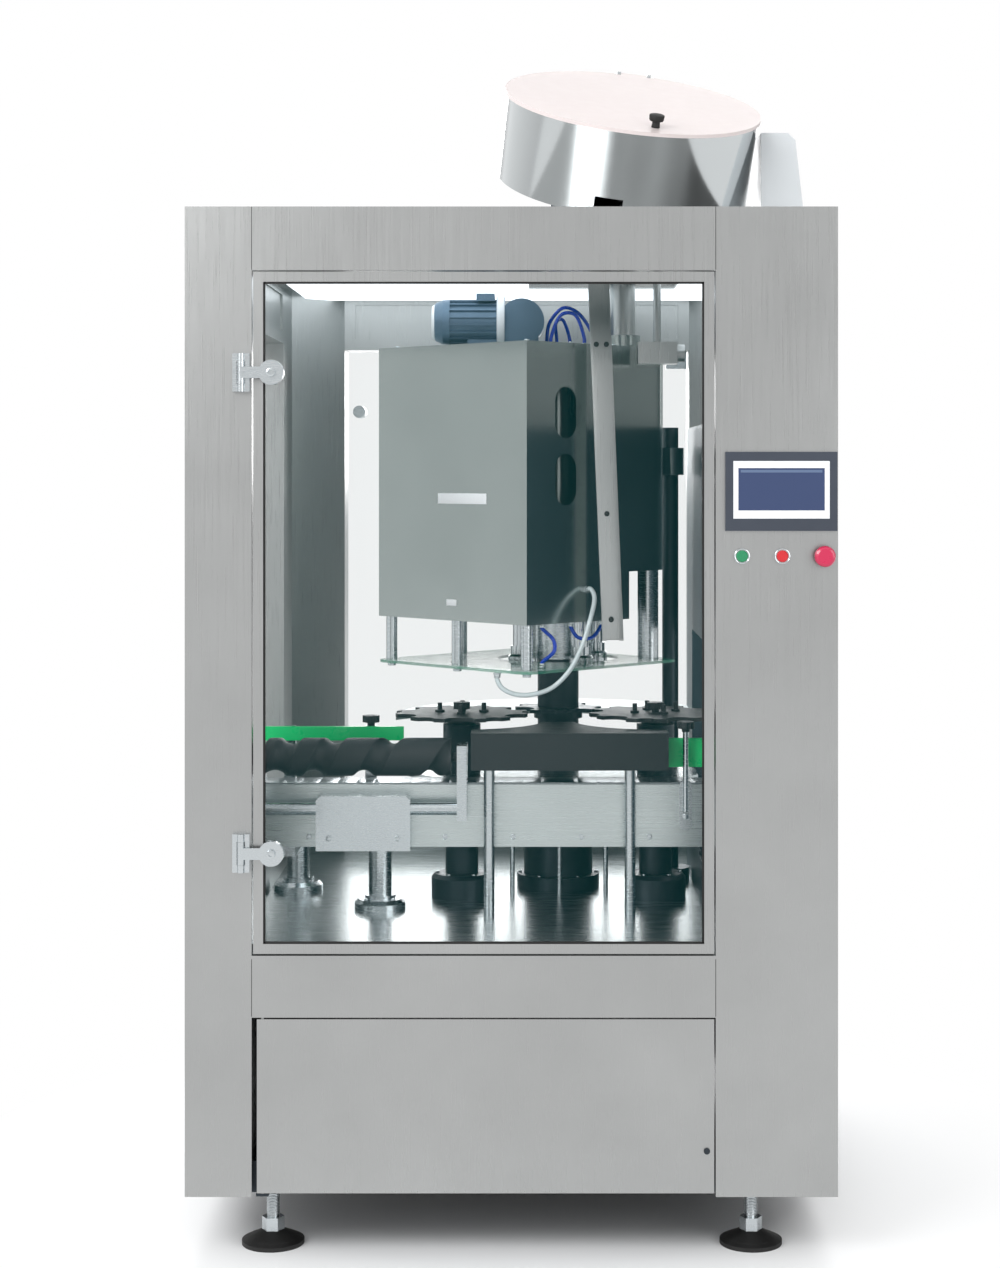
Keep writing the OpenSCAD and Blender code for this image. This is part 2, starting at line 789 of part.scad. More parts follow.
// A round button with a slightly domed cap on its plunger
module push_button(x) {
    translate([x, y_front - cap_proud, button_z]) rotate([-90, 0, 0]) rotate_extrude()
        polygon([[0, -over], [cap_d / 2 - 2 * over, -over], [cap_d / 2, over], [cap_d / 2, cap_len - over],
            [plunger_d / 2, cap_len - over], [plunger_d / 2, cap_proud + sleeve_len],
            [0, cap_proud + sleeve_len]]);
}
module start_button() color("mediumseagreen") push_button(start_x);
module stop_button() color("crimson") push_button(stop_x);

module estop_button() color("crimson")
    translate([estop_x, y_front - mush_proud, button_z]) rotate([-90, 0, 0]) rotate_extrude()
        polygon([[0, 0], [mushroom_d / 2 - mush_t / 2, 0], [mushroom_d / 2 - mush_t / 6, mush_t / 6],
            [mushroom_d / 2, mush_t / 2], [mushroom_d / 2, mush_t], [plunger_d / 2 + mush_t / 6, mush_t + mush_t / 4],
            [plunger_d / 2, mush_t + mush_t / 2], [plunger_d / 2, mush_proud + sleeve_len],
            [0, mush_proud + sleeve_len]]);

// Conveyor

module conveyor_frame() color("silver") difference() {
    union() {
        for (s = [-1, 1]) {
            yo = y_line + s * frame_w / 2;
            yi = yo - s * frame_t;
            block(-x_wall, x_wall, min(yo, yi), max(yo, yi), z_frame_lo, deck_z - frame_lip);
            ys = yi - s * strip_w;
            block(-x_wall + chain_end, x_wall - chain_end, min(yi, ys), max(yi, ys),
                deck_z - chain_t - strip_t, deck_z - chain_t);
        }
        for (i = [1:tie_n]) translate([-x_wall + i * cab_w / (tie_n + 1) - tie_w / 2,
            y_line - frame_w / 2 + frame_t, chain_z - chain_r - tie_h])
            cube([tie_w, frame_w - 2 * frame_t, tie_h]);
        rod_y(2 * (chain_r - chain_t - seat), -x_wall + chain_end, y_line - frame_w / 2 + frame_t,
            y_line + frame_w / 2 - frame_t, chain_z);
    }
    rod_y(sprocket_shaft_d + 2 * fit, x_wall - chain_end, y_line - frame_w, y_line + frame_w, chain_z);
}

module chain_loop(r) {
    square([cab_w - 2 * chain_end, 2 * r], center = true);
    for (s = [-1, 1]) translate([s * (x_wall - chain_end), 0]) circle(r = r);
}
module conveyor_chain() color("gainsboro")
    translate([0, y_line + chain_w / 2, chain_z]) rotate([90, 0, 0]) linear_extrude(chain_w) difference() {
        chain_loop(chain_r);
        chain_loop(chain_r - chain_t);
    }

module drive_sprocket() color("dimgray") {
    translate([x_wall - chain_end, y_line + sprocket_w / 2, chain_z]) rotate([90, 0, 0])
        linear_extrude(sprocket_w) difference() {
            circle(r = chain_r - chain_t - seat);
            for (i = [0:sprocket_n - 1]) rotate(i * 360 / sprocket_n)
                translate([chain_r - chain_t - seat, 0]) circle(d = roller_d);
        }
    rod_y(sprocket_shaft_d, x_wall - chain_end, y_line - frame_w / 2, y_line + frame_w / 2 + roller_d, chain_z);
}

leg_d = 48;
leg_foot_d = 106;
leg_foot_h = 30;
leg_collar_d = 64;
leg_step = 8;
// A round leg with a stepped flange that is bolted to the table
module leg(x, dep, top, d = leg_d) {
    translate([x, y_front + dep, table_z]) {
        rotate_extrude() polygon([[0, 0], [leg_foot_d / 2 * d / leg_d, 0],
            [leg_foot_d / 2 * d / leg_d, leg_foot_h - 2 * leg_step],
            [leg_foot_d / 2 * d / leg_d - leg_step, leg_foot_h - leg_step],
            [leg_collar_d / 2 * d / leg_d, leg_foot_h - leg_step], [leg_collar_d / 2 * d / leg_d, leg_foot_h],
            [d / 2, leg_foot_h], [d / 2, top - table_z], [0, top - table_z]]);
    }
}

front_leg_x = -277;
rear_leg_x = [-469, 456];
rear_leg_dep = 590;
cross_w = 40;
cross_h = 20;
post_x = [-49, 239];
post_dep = 300;
post_d = 22;
thin_x = [-4, 97, 196];
thin_dep = 530;
thin_d = 10;
module table_legs() color("silver") {
    leg(front_leg_x, line_dep, z_frame_lo);
    for (x = rear_leg_x) {
        leg(x, rear_leg_dep, z_frame_lo - cross_h);
        block(x - cross_w / 2, x + cross_w / 2, y_line - frame_w / 2, y_front + rear_leg_dep + leg_d / 2,
            z_frame_lo - cross_h, z_frame_lo);
    }
    for (x = post_x) rod_z(post_d, x, y_front + post_dep, table_z, guide_top - guide_h);
    for (x = thin_x) rod_z(thin_d, x, y_front + thin_dep, table_z, deck_z - transfer_t);
}

// Bracket of the timing screw: a notched plate on the conveyor, two rods and the two end bearings
brk_x0 = -401;
brk_x1 = -209;
brk_h = 111;
brk_t = 55;
brk_notch = 12;
rod_d = 25;
rod_up = 84;
rod_back = 40;
end_t = 20;
end_lo = 798;
end_hi = 28;
end_front = 60;
y_brk = y_line - frame_w / 2;
z_rod = z_frame_lo + rod_up;
module end_bearing(x) difference() {
    translate([x, 0, 0]) rotate([90, 0, 90]) linear_extrude(end_t)
        polygon([[y_brk - end_front, end_lo], [y_brk - sheet, end_lo], [y_brk - sheet, deck_z + sheet],
            [y_screw + end_hi - sheet, deck_z + sheet], [y_screw + end_hi - sheet, screw_z + end_hi],
            [y_brk - end_front, screw_z + end_hi]]);
    rod_x(screw_shaft_d + 2 * fit, x - over, x + end_t + over, y_screw, screw_z);
}

// Slotted rail strap with round ends that stands on the conveyor's front plate
strap_x = 354;
strap_w = 26;
strap_h = 104;
strap_t = 6;
strap_slot_w = 9;
strap_slot_h = 60;
strap_z = 822;
exit_rail_x = 320;
rail_t = 10;
rail_h = 29;
rail_z = 945;
rail_gap = track_r;
mast_x = [-300, -470];
mast_w = 24;
mast_t = 14;
arm_d = 12;
arm_len = 60;
end_lap = 10;
module rail_brackets() color("silver") {
    difference() {
        block(brk_x0, brk_x1, y_brk - brk_t, y_brk, z_frame_lo, z_frame_lo + brk_h);
        for (x = [brk_x0, brk_x1]) translate([x, y_brk - brk_t / 2, z_frame_lo + brk_h])
            rotate([0, 45, 0]) cube([brk_notch, brk_t + 2 * over, brk_notch], center = true);
    }
    for (x = [[screw_x - journal + end_t, brk_x0], [brk_x1, screw_x + screw_len + journal - end_lap]])
        rod_x(rod_d, x[0], x[1], y_brk - rod_back, z_rod);
    end_bearing(screw_x - journal);
    end_bearing(screw_x + screw_len + journal - end_lap);
    difference() {
        translate([strap_x, y_brk, strap_z]) rotate([90, 0, 0]) linear_extrude(strap_t) difference() {
            obround(strap_w, strap_h);
            obround(strap_slot_w, strap_slot_h);
        }
    }
    rod_z(arm_d, strap_x, y_brk - strap_t - arm_d / 2, strap_z - arm_d, rail_z + rail_h);
    for (x = mast_x) difference() {
        block(x - mast_w / 2, x + mast_w / 2, y_line + frame_w / 2, y_line + frame_w / 2 + mast_t, z_rod,
            rail_z + rail_h);
        rod_y(arm_d + 2 * fit, x, y_line, y_line + frame_w, rail_z + rail_h / 2);
    }
}

rail_back = 86;
module guide_rails() color("mediumspringgreen") {
    block(-x_side + sheet, x_in - track_r - rail_back, y_line + rail_gap, y_line + rail_gap + rail_t, rail_z,
        rail_z + rail_h);
    for (x = mast_x)
        rod_y(arm_d, x, y_line + rail_gap + rail_t, y_line + rail_gap + rail_t + arm_len, rail_z + rail_h / 2);
    exit_rail();
}

strip_h = 13;
exit_lo = 899;
exit_web_t = 4;
module exit_rail() {
    y0 = y_line - rail_gap;
    difference() {
        block(exit_rail_x, x_side - sheet, y0 - rail_t, y0, exit_lo, rail_z + strip_h);
        block(exit_rail_x - over, x_side + over, y0 - rail_t + exit_web_t, y0 + over, exit_lo + strip_h, rail_z);
    }
}

knob_d = 36;
knob_h = 14;
knob_n = 5;
knob_neck = 16;
// A black clamp knob: a narrow neck under a scalloped hand wheel
module clamp_knob() {
    cylinder(d = knob_neck, h = knob_h / 2);
    translate([0, 0, knob_h / 2]) linear_extrude(knob_h) difference() {
        circle(d = knob_d);
        for (i = [0:knob_n - 1]) rotate(i * 360 / knob_n) translate([knob_d / 2 + knob_h / 3, 0])
            circle(d = knob_h);
    }
}
module rail_knobs() color("black") {
    translate([mast_x[0], y_line + frame_w / 2 + mast_t / 2, rail_z + rail_h]) clamp_knob();
    translate([strap_x, y_brk - strap_t - arm_d / 2, rail_z + rail_h]) clamp_knob();
}

// Stars and guides

module transfer_plate() color("silver") difference() {
    rod_z(2 * transfer_r, main_x, y_main, deck_z - transfer_t, deck_z);
    block(main_x - 2 * transfer_r, main_x + 2 * transfer_r, y_front, y_line + frame_w / 2 + over,
        deck_z - transfer_t - over, deck_z + over);
    block(x_ctrl - over, x_wall, y_front, y_rear, deck_z - transfer_t - over, deck_z + over);
    rod_z(column_d + 2 * seat, main_x, y_main, z_table, deck_z + over);
    for (x = [x_in, x_out]) rod_z(housing_d + 2 * seat, x, y_side, z_table, deck_z + over);
    rod_z(guide_d + 2 * seat, guide_x, y_guide, z_table, deck_z + over);
}

guide_post_angles = [40, 90, 140];
guide_post_d = 20;
module outer_guide() color("#dfe9e6") {
    difference() {
        rod_z(2 * ring_r, main_x, y_main, guide_top - ring_t, guide_top);
        tracks(guide_top - ring_t - over, guide_top + over);
        block(main_x - 2 * ring_r, main_x + 2 * ring_r, y_front, y_side, deck_z, guide_top + over);
        block(x_ctrl - over, x_wall, y_front, y_rear, deck_z, guide_top + over);
        rod_z(guide_d + 2 * seat, guide_x, y_guide, z_table, guide_top + over);
    }
    for (a = guide_post_angles) rod_z(guide_post_d, main_x + (transfer_r - guide_post_d) * cos(a),
        y_main + (transfer_r - guide_post_d) * sin(a), deck_z, guide_top - ring_t);
}

// Space that the bottles sweep round the three stars
module tracks(z0, z1) {
    rod_z(2 * (main_r + track_r), main_x, y_main, z0, z1);
    for (x = [x_in, x_out]) rod_z(2 * (side_r + track_r), x, y_side, z0, z1);
}

module center_guide() color("#17191c") difference() {
    block(guide_x0, guide_x1, y_front + guide_dep, y_front + guide_dep + guide_back, guide_top - guide_h,
        guide_top);
    tracks(guide_top - 2 * guide_h, guide_top + over);
}

module star_pedestals() color("#2b2f33") {
    difference() {
        translate([main_x, y_main, table_z]) rotate_extrude() polygon([[0, 0], [main_pedestal_d * 0.6, 0],
            [main_pedestal_d * 0.6, leg_foot_h], [main_pedestal_d / 2, leg_foot_h],
            [main_pedestal_d / 2, deck_z - transfer_t - table_z], [0, deck_z - transfer_t - table_z]]);
        rod_z(column_d + 2 * fit, main_x, y_main, z_table, deck_z + over);
    }
    for (x = [x_in, x_out]) difference() {
        translate([x, y_side, table_z]) rotate_extrude() polygon([[0, 0], [pedestal_foot_d / 2, 0],
            [pedestal_foot_d / 2, pedestal_foot_h - leg_step],
            [pedestal_foot_d / 2 - leg_step, pedestal_foot_h], [pedestal_d / 2, pedestal_foot_h],
            [pedestal_d / 2, deck_z - 2 * transfer_t - table_z],
            [housing_d / 2, deck_z - 2 * transfer_t - table_z], [housing_d / 2, housing_top - table_z],
            [0, housing_top - table_z]]);
        rod_z(shaft_d + 2 * fit, x, y_side, z_table, housing_top + over);
    }
}

finger_share = 0.62;
tip_gap = 2;
hub_d = 60;
// Star plate: round pockets for the bottles, scooped between them so that hooked fingers stay
module star_outline(n, r, core) {
    difference() {
        circle(r = r - tip_gap);
        for (i = [0:n - 1]) rotate(i * 360 / n) translate([r, 0]) circle(r = pocket_r);
        for (i = [0:n - 1]) rotate((i + 0.5) * 360 / n)
            translate([r + pocket_r * 0.1, 0]) circle(r = pocket_r * finger_share);
    }
}

stud_r = 47;
stud_d = 10;
stud_h = 20;
stud_n = 4;
wheel_d = 40;
module side_star(x, turn) {
    translate([x, y_side, 0]) {
        translate([0, 0, star_z]) rotate(turn) linear_extrude(star_t) star_outline(side_n, side_r, hub_d);
        translate([0, 0, housing_top + seat]) cylinder(d = hub_d, h = star_z - housing_top - seat);
        translate([0, 0, gear_z]) cylinder(d = shaft_d, h = star_z - gear_z);
        for (i = [0:stud_n - 1]) rotate(i * 360 / stud_n + turn) translate([stud_r, 0, star_z + star_t / 2]) {
            cylinder(d = stud_d, h = stud_h + star_t / 2);
            cylinder(d = 2 * stud_d, h = stud_h / 4 + star_t / 2, $fn = 6);
        }
        translate([0, 0, star_z + star_t]) clamp_knob();
    }
}

// Drive gears under the table; a tooth of each side gear stands in a gap of the main gear
side_gear_n = 2 * side_r / gear_m;
main_gear_n = 2 * main_r / gear_m;
mesh_angle = atan2(y_main - y_side, side_dx);
out_phase = (180 - 2 * mesh_angle) * main_gear_n / 360;
module side_gear(x, a) {
    translate([x, y_side, gear_z]) rotate(a) gear(gear_m, side_gear_n, gear_w, shaft_d - over);
}
module infeed_star() color("#1b1d20") {
    side_star(x_in, -90);
    side_gear(x_in, mesh_angle + 180 / side_gear_n);
}
module outfeed_star() color("#1b1d20") {
    side_star(x_out, 180 - mesh_angle - 2 * mesh_angle * main_n / side_n);
    side_gear(x_out, 180 - mesh_angle + (out_phase - 0.5) * 360 / side_gear_n);
}

column_foot = 500;
column_top = 1440;
stub_d = 40;
stub_len = 60;
module main_column() color("#1d2024") translate([main_x, y_main, 0]) {
    translate([0, 0, column_foot]) cylinder(d = column_d, h = column_top - column_foot);
    translate([0, 0, column_foot - stub_len]) cylinder(d = stub_d, h = stub_len);
    translate([0, 0, gear_z]) rotate(180 + mesh_angle) gear(gear_m, main_gear_n, gear_w, column_d - over);
    translate([0, 0, star_z]) rotate(180 + mesh_angle) linear_extrude(star_t) difference() {
        star_outline(main_n, main_r, column_d);
        circle(d = column_d - over);
    }
    translate([0, 0, star_z - 2 * star_t]) difference() {
        cylinder(d = column_d + 2 * star_t, h = 2 * star_t);
        translate([0, 0, -over]) cylinder(d = column_d - over, h = 2 * star_t + 2 * over);
    }
}

mount_t = 12;
box_a = 140;
box_h = 140;
motor_d = 120;
motor_len = 230;
hanger_d = 22;
hang_pts = [[110, 110], [-110, 110], [0, -155]];
module drive_motor() color("steelblue") {
    z0 = column_foot - 2 * mount_t;
    difference() {
        union() {
            block(main_x - box_a, main_x + box_a, y_main - 1.25 * box_a, y_main + box_a, z0 - mount_t, z0);
            block(main_x - box_a / 2, main_x + box_a / 2, y_main - box_a / 2, y_main + box_a / 2,
                z0 - mount_t - box_h, z0 - mount_t);
        }
        rod_z(stub_d + 2 * fit, main_x, y_main, column_foot - stub_len - mount_t, z0 + over);
    }
    rod_y(motor_d, main_x, y_main + box_a / 2, y_main + box_a / 2 + motor_len, z0 - mount_t - box_h / 2);
    for (p = hang_pts) rod_z(hanger_d, main_x + p[0], y_main + p[1], z0, z_table);
}

// Capping head

module at_head() {
    translate([head_x, y_head, 0]) rotate(45) children();
}

// Square with one round corner, the one that points to the right
module head_outline(a, r) {
    difference() {
        square([a, a], center = true);
        translate([a / 2 - r, -a / 2 - over]) square([r + over, r + over]);
    }
    translate([a / 2 - r, -a / 2 + r]) circle(r = r);
}

obround_w = 62;
obround_h = 107;
obround_u = -115;
obround_z = [1491, 1630];
notch_a = 150;
floor_t = 6;
notch_h = 101;
lug_d = 60;
lug_z = 1500;
lug_h = 60;
bush_h = 25;
bush_d = 76;
latch_u = -70;
latch_w = 18;
latch_h = 12;
head_top = head_z + head_h;
// Place of the guide column seen from the head's own axes
guide_u = ((guide_x - head_x) + (y_guide - y_head)) / sqrt(2);
guide_v = ((y_guide - y_head) - (guide_x - head_x)) / sqrt(2);
// Fixed gear that the spindles' pinions roll round, on a tube under the housing's top plate
module sun_gear() translate([main_x, y_main, turret_gear_z]) {
    rotate(180 + mesh_angle) gear(gear_m, sun_n, turret_gear_w, column_d + sheet);
    difference() {
        cylinder(d = column_d + 2 * sun_wall, h = head_top - sheet / 2 - turret_gear_z);
        translate([0, 0, -over]) cylinder(d = column_d + 2 * sheet, h = head_top - turret_gear_z - sheet);
    }
}
module head_housing() color("lightsteelblue") difference() {
    union() {
        at_head() difference() {
            translate([0, 0, head_z]) linear_extrude(head_h) head_outline(head_a, head_r);
            translate([0, 0, head_z + rim_t]) linear_extrude(head_h - rim_t - sheet)
                head_outline(head_a - 2 * sheet, head_r - sheet);
        }
        at_head() block(head_a / 2 - 3 * sheet, guide_u, guide_v - lug_h / 3, guide_v + lug_h / 3, lug_z,
            lug_z + lug_h);
        rod_z(lug_d, guide_x, y_guide, lug_z, lug_z + lug_h);
        rod_z(bush_d, hang_x, y_hang, head_top - bush_h, head_top + bush_h);
        at_head() intersection() {
            translate([0, 0, head_z + notch_h]) linear_extrude(floor_t) head_outline(head_a, head_r);
            block(head_a / 2 - notch_a - sheet, head_a, -head_a, -head_a / 2 + notch_a + sheet, head_z,
                head_top);
        }
        sun_gear();
    }
    rod_z(turret_hole_d, main_x, y_main, head_z - over, head_z + notch_h + floor_t + over);
    at_head() block(head_a / 2 - notch_a, head_a / 2 + over, -head_a / 2 - over, -head_a / 2 + notch_a,
        head_z - over, head_z + notch_h);
    at_head() for (z = obround_z) translate([obround_u, -head_a / 2 + sheet + over, z]) rotate([90, 0, 0])
        linear_extrude(sheet + 2 * over) obround(obround_w, obround_h);
    rod_z(hang_d + 2 * fit, hang_x, y_hang, head_z + rim_t, head_top + 2 * bush_h);
    rod_z(guide_d + 2 * fit, guide_x, y_guide, lug_z - over, lug_z + lug_h + over);
}

guard_t = 6;
guard_r = 30;
guard_edge = 20;
module guard_plate() color("palegreen", 0.4) difference() {
    at_head() translate([0, 0, guard_z - guard_t]) linear_extrude(guard_t) {
        square([guard_a, guard_a - 2 * guard_r], center = true);
        square([guard_a - 2 * guard_r, guard_a], center = true);
        for (sx = [-1, 1], sy = [-1, 1])
            translate([sx * (guard_a / 2 - guard_r), sy * (guard_a / 2 - guard_r)]) circle(r = guard_r);
    }
    rod_z(turret_hole_d, main_x, y_main, guard_z - 2 * guard_t, guard_z + over);
}

stroke_x = 290;
stroke_dep = 603;
stroke_d = 45;
module guard_standoffs() color("gainsboro") {
    at_head() for (p = [[-1, -1], [-1, 0], [-1, 1], [0, 1], [1, 1]])
        translate([p[0] * (head_a / 2 - guard_edge), p[1] * (head_a / 2 - guard_edge), guard_z])
            cylinder(d = standoff_d, h = head_z - guard_z);
    rod_z(stroke_d, stroke_x, y_front + stroke_dep, guard_z, head_z + notch_h);
}

motor_z = 1832;
motor_dep = 600;
m_body_d = 98;
m_x0 = -179;
m_bell = 39;
m_x1 = -38;
m_ring_d = 112;
m_ring_t = 17;
m_box_x1 = 52;
m_fin_n = 18;
m_fin_t = 3;
m_fin_h = 5;
m_term_h = 16;
module head_motor() color("lightslategray") {
    y0 = y_front + motor_dep;
    translate([m_x0, y0, motor_z]) rotate([0, 90, 0]) rotate_extrude()
        polygon([[0, 0], [m_body_d * 0.3, 0], [m_body_d * 0.42, m_bell * 0.2], [m_body_d * 0.49, m_bell * 0.6],
            [m_body_d * 0.5, m_bell], [0, m_bell]]);
    translate([m_x0 + m_bell, y0, motor_z]) rotate([0, 90, 0])
        linear_extrude(m_x1 - m_x0 - m_bell) {
            circle(d = m_body_d - 2 * m_fin_h);
            for (i = [0:m_fin_n - 1]) rotate(i * 360 / m_fin_n)
                translate([0, -m_fin_t / 2]) square([m_body_d / 2, m_fin_t]);
        }
    rod_x(m_ring_d, m_x1, m_x1 + m_ring_t, y0, motor_z);
    rod_y(m_body_d, (m_x1 + m_ring_t + m_box_x1) / 2, y0 - m_body_d * 0.45, y0 + m_body_d * 0.45, motor_z);
    block(m_x1 + m_ring_t, m_box_x1, y0 - m_body_d * 0.4, y0 + m_body_d * 0.4, head_top, motor_z);
    block(m_x1 - m_body_d * 0.45, m_x1 - m_body_d * 0.05, y0 - m_body_d * 0.35, y0 + m_body_d * 0.35,
        motor_z + m_body_d * 0.45, motor_z + m_body_d * 0.45 + m_term_h);
    block(m_x0 + 2 * m_bell, m_x1, y0 - m_body_d * 0.35, y0 + m_body_d * 0.35, head_top,
        motor_z - m_body_d * 0.4);
}

module turret() color("dimgray") translate([main_x, y_main, 0]) difference() {
    union() {
        translate([0, 0, turret_z]) cylinder(d = turret_d, h = turret_t);
        translate([0, 0, turret_top_z]) cylinder(d = turret_d, h = turret_t);
        translate([0, 0, guard_z]) cylinder(d = turret_hub_d, h = turret_top_z - guard_z);
    }
    translate([0, 0, guard_z - over]) cylinder(d = column_d + 2 * fit, h = head_h);
    for (i = [0:main_n - 1]) rotate(180 + mesh_angle + i * 360 / main_n)
        translate([spindle_r, 0, guard_z]) cylinder(d = spindle_d + 2 * fit, h = head_h);
}

spindle_d = 32;
chuck_lo = 1084;
chuck_h = 46;
cap_bore_d = 32;
cap_bore_h = 22;
grip_n = 12;
grip_d = 5;
// Capping spindle: shaft in the turret's two discs, pinion on top and a fluted chuck that grips the cap
module spindle(i) color("silver") translate([main_x, y_main, 0])
    rotate(180 + mesh_angle + i * 360 / main_n) translate([spindle_r, 0, 0]) {
        translate([0, 0, chuck_lo + chuck_h])
            cylinder(d = spindle_d, h = turret_gear_z + turret_gear_w - chuck_lo - chuck_h);
        difference() {
            translate([0, 0, chuck_lo]) rotate_extrude()
                polygon([[0, 0], [chuck_d / 2 - grip_d / 2, 0], [chuck_d / 2, grip_d / 2],
                    [chuck_d / 2, chuck_h / 2], [chuck_d / 2 - grip_d, chuck_h / 2 + grip_d],
                    [chuck_d / 2 - grip_d, chuck_h], [0, chuck_h]]);
            translate([0, 0, chuck_lo - over]) cylinder(d = cap_bore_d, h = cap_bore_h + over);
            for (k = [0:grip_n - 1]) rotate(k * 360 / grip_n)
                translate([chuck_d / 2 + grip_d / 4, 0, chuck_lo - over])
                    cylinder(d = grip_d, h = chuck_h / 2 + over);
        }
        translate([0, 0, turret_z + turret_t + seat]) cylinder(d = spindle_d + 2 * grip_d, h = 2 * grip_d);
        translate([0, 0, turret_gear_z]) rotate(180 / pinion_n) gear(gear_m, pinion_n, turret_gear_w,
            spindle_d - over);
    }
module spindle_1() spindle(0);
module spindle_2() spindle(1);
module spindle_3() spindle(2);
module spindle_4() spindle(3);

flange_x = 199;
flange_dep = 497;
flange_d = 305;
flange_h = 10;
hang_foot = 1640;
reducer_x = 303;
reducer_dep = 470;
reducer_w = 83;
reducer_b = 58;
reducer_lo = 1735;
reducer_h = 46;
reducer_rod_d = 16;
module ceiling_column() color("silver") {
    difference() {
        rod_z(flange_d, flange_x, y_front + flange_dep, z_ceiling - flange_h, z_ceiling);
        chute_hole();
    }
    rod_z(hang_d, hang_x, y_hang, hang_foot, z_ceiling - flange_h);
    translate([reducer_x - reducer_w / 2, y_front + reducer_dep - reducer_b / 2, reducer_lo])
        cube([reducer_w, reducer_b, reducer_h]);
    rod_x(reducer_h * 0.8, reducer_x + reducer_w / 2, reducer_x + reducer_w * 0.7, y_front + reducer_dep,
        reducer_lo + reducer_h / 2);
    rod_z(reducer_rod_d, reducer_x, y_front + reducer_dep, reducer_lo + reducer_h, z_ceiling - flange_h);
}

guide_top_z = 1605;
guide_foot_d = 84;
module guide_column() color("#4a5258") {
    rod_z(guide_d, guide_x, y_guide, table_z, guide_top_z);
    rod_z(guide_foot_d, guide_x, y_guide, table_z, table_z + leg_foot_h);
}

// Cap supply

chute_foot = 1156;
chute_foot_x = 207;
chute_wall = 4;
chute_lip = 9;
chute_bend_x = 176;
chute_rise = 12;
chute_run = [[chute_foot_x, chute_foot], [chute_bend_x, z_ceiling], [chute_top_x, cab_top + chute_rise]];
module chute_band(w) {
    polygon([for (p = chute_run) p - [w / 2, 0], for (i = [2:-1:0]) chute_run[i] + [w / 2, 0]]);
}
module cap_chute() color("#c9d4d6") translate([0, chute_y0 + chute_t, 0]) rotate([90, 0, 0]) {
    difference() {
        linear_extrude(chute_t) chute_band(chute_w);
        translate([0, 0, chute_wall]) linear_extrude(chute_t - 2 * chute_wall)
            chute_band(chute_w - 2 * chute_wall);
        translate([0, 0, chute_t / 2]) linear_extrude(chute_t) chute_band(chute_w - 2 * chute_lip);
        translate([-cab_w, chute_foot - 2 * over, chute_wall])
            cube([2 * cab_w, 2 * over + over, chute_t - 2 * chute_wall]);
    }
}

// Ears and pin that carry the sorter's lid
ear_t = 8;
hinge_back = 8;
module lid_hinge() {
    for (x = [-lid_lug_w / 2 - seat - ear_t, lid_lug_w / 2 + seat]) {
        block(x, x + ear_t, bowl_d / 2 - bowl_wall, bowl_d / 2 + 2 * hinge_back, -3 * lid_t, -lid_t / 2);
        rod_x(2 * hinge_back, x, x + ear_t, bowl_d / 2 + hinge_back, -(lid_t - seat) / 2);
    }
    rod_x(pin_d, -lid_lug_w / 2 - ear_t, lid_lug_w / 2 + ear_t, bowl_d / 2 + hinge_back, -(lid_t - seat) / 2);
}

// Places a piece on the tilted sorter: its origin is the lid's centre, its Z the bowl's axis
module at_bowl() {
    translate([bowl_x, y_front + bowl_dep, bowl_z]) rotate([bowl_tilt, bowl_roll, 0]) children();
}

outlet_w = 60;
outlet_h = 34;
bowl_floor = 6;
module sorter_bowl() color("gainsboro") at_bowl() {
    lid_hinge();
    bowl_shell();
}

module bowl_shell() difference() {
    translate([0, 0, -lid_t - bowl_h]) rotate_extrude($fn = 96) polygon([[0, 0], [bowl_d / 2, 0],
        [bowl_d / 2, bowl_h], [bowl_d / 2 - bowl_wall, bowl_h], [bowl_d / 2 - bowl_wall, bowl_floor],
        [0, bowl_floor]]);
    translate([-outlet_w, -bowl_d / 2 - over, -lid_t - bowl_h + bowl_floor])
        cube([outlet_w, 4 * bowl_wall, outlet_h]);
    translate([0, 0, -lid_t - bowl_h - over]) cylinder(d = shaft_d + 2 * fit, h = bowl_floor + 2 * over);
}

module sorter_disc() color("lightgray") at_bowl() {
    z0 = -lid_t - bowl_h + bowl_floor;
    translate([0, 0, z0 + seat]) rotate_extrude($fn = 96) polygon([[0, 0], [bowl_d / 2 - bowl_wall - disc_gap, 0],
        [bowl_d / 2 - bowl_wall - disc_gap, disc_t], [bowl_d / 6, disc_t], [bowl_d / 12, 3 * disc_t],
        [0, 3 * disc_t]]);
    translate([0, 0, z0 - 3 * bowl_floor]) cylinder(d = shaft_d, h = 4 * bowl_floor);
}

lid_knob_x = 48;
lid_knob_y = -225;
lid_lug_w = 60;
lid_lug = 16;
lid_knob_form = [[0, 0], [8, 0], [7, 14], [13, 17], [14, 24], [10, 27], [0, 27]];
module sorter_lid() color("mistyrose") at_bowl() {
    difference() {
        translate([0, 0, -lid_t + seat]) rotate_extrude($fn = 96) polygon([[0, 0], [bowl_d / 2 + lid_over, 0],
            [bowl_d / 2 + lid_over, lid_t - seat], [0, lid_t - seat]]);
        for (x = [-lid_lug_w / 2 - 2 * ear_t, lid_lug_w / 2])
            block(x, x + 2 * ear_t, bowl_d / 2 - bowl_wall - 2 * over, bowl_d, -2 * lid_t, lid_t);
    }
    translate([lid_knob_x, lid_knob_y, 0]) rotate_extrude() polygon(lid_knob_form);
    difference() {
        translate([-lid_lug_w / 2, bowl_d / 2 - lid_lug, -lid_t + seat])
            cube([lid_lug_w, 2 * lid_lug, lid_t - seat]);
        rod_x(pin_d + 2 * fit, -lid_lug_w, lid_lug_w, bowl_d / 2 + hinge_back, -(lid_t - seat) / 2);
    }
}

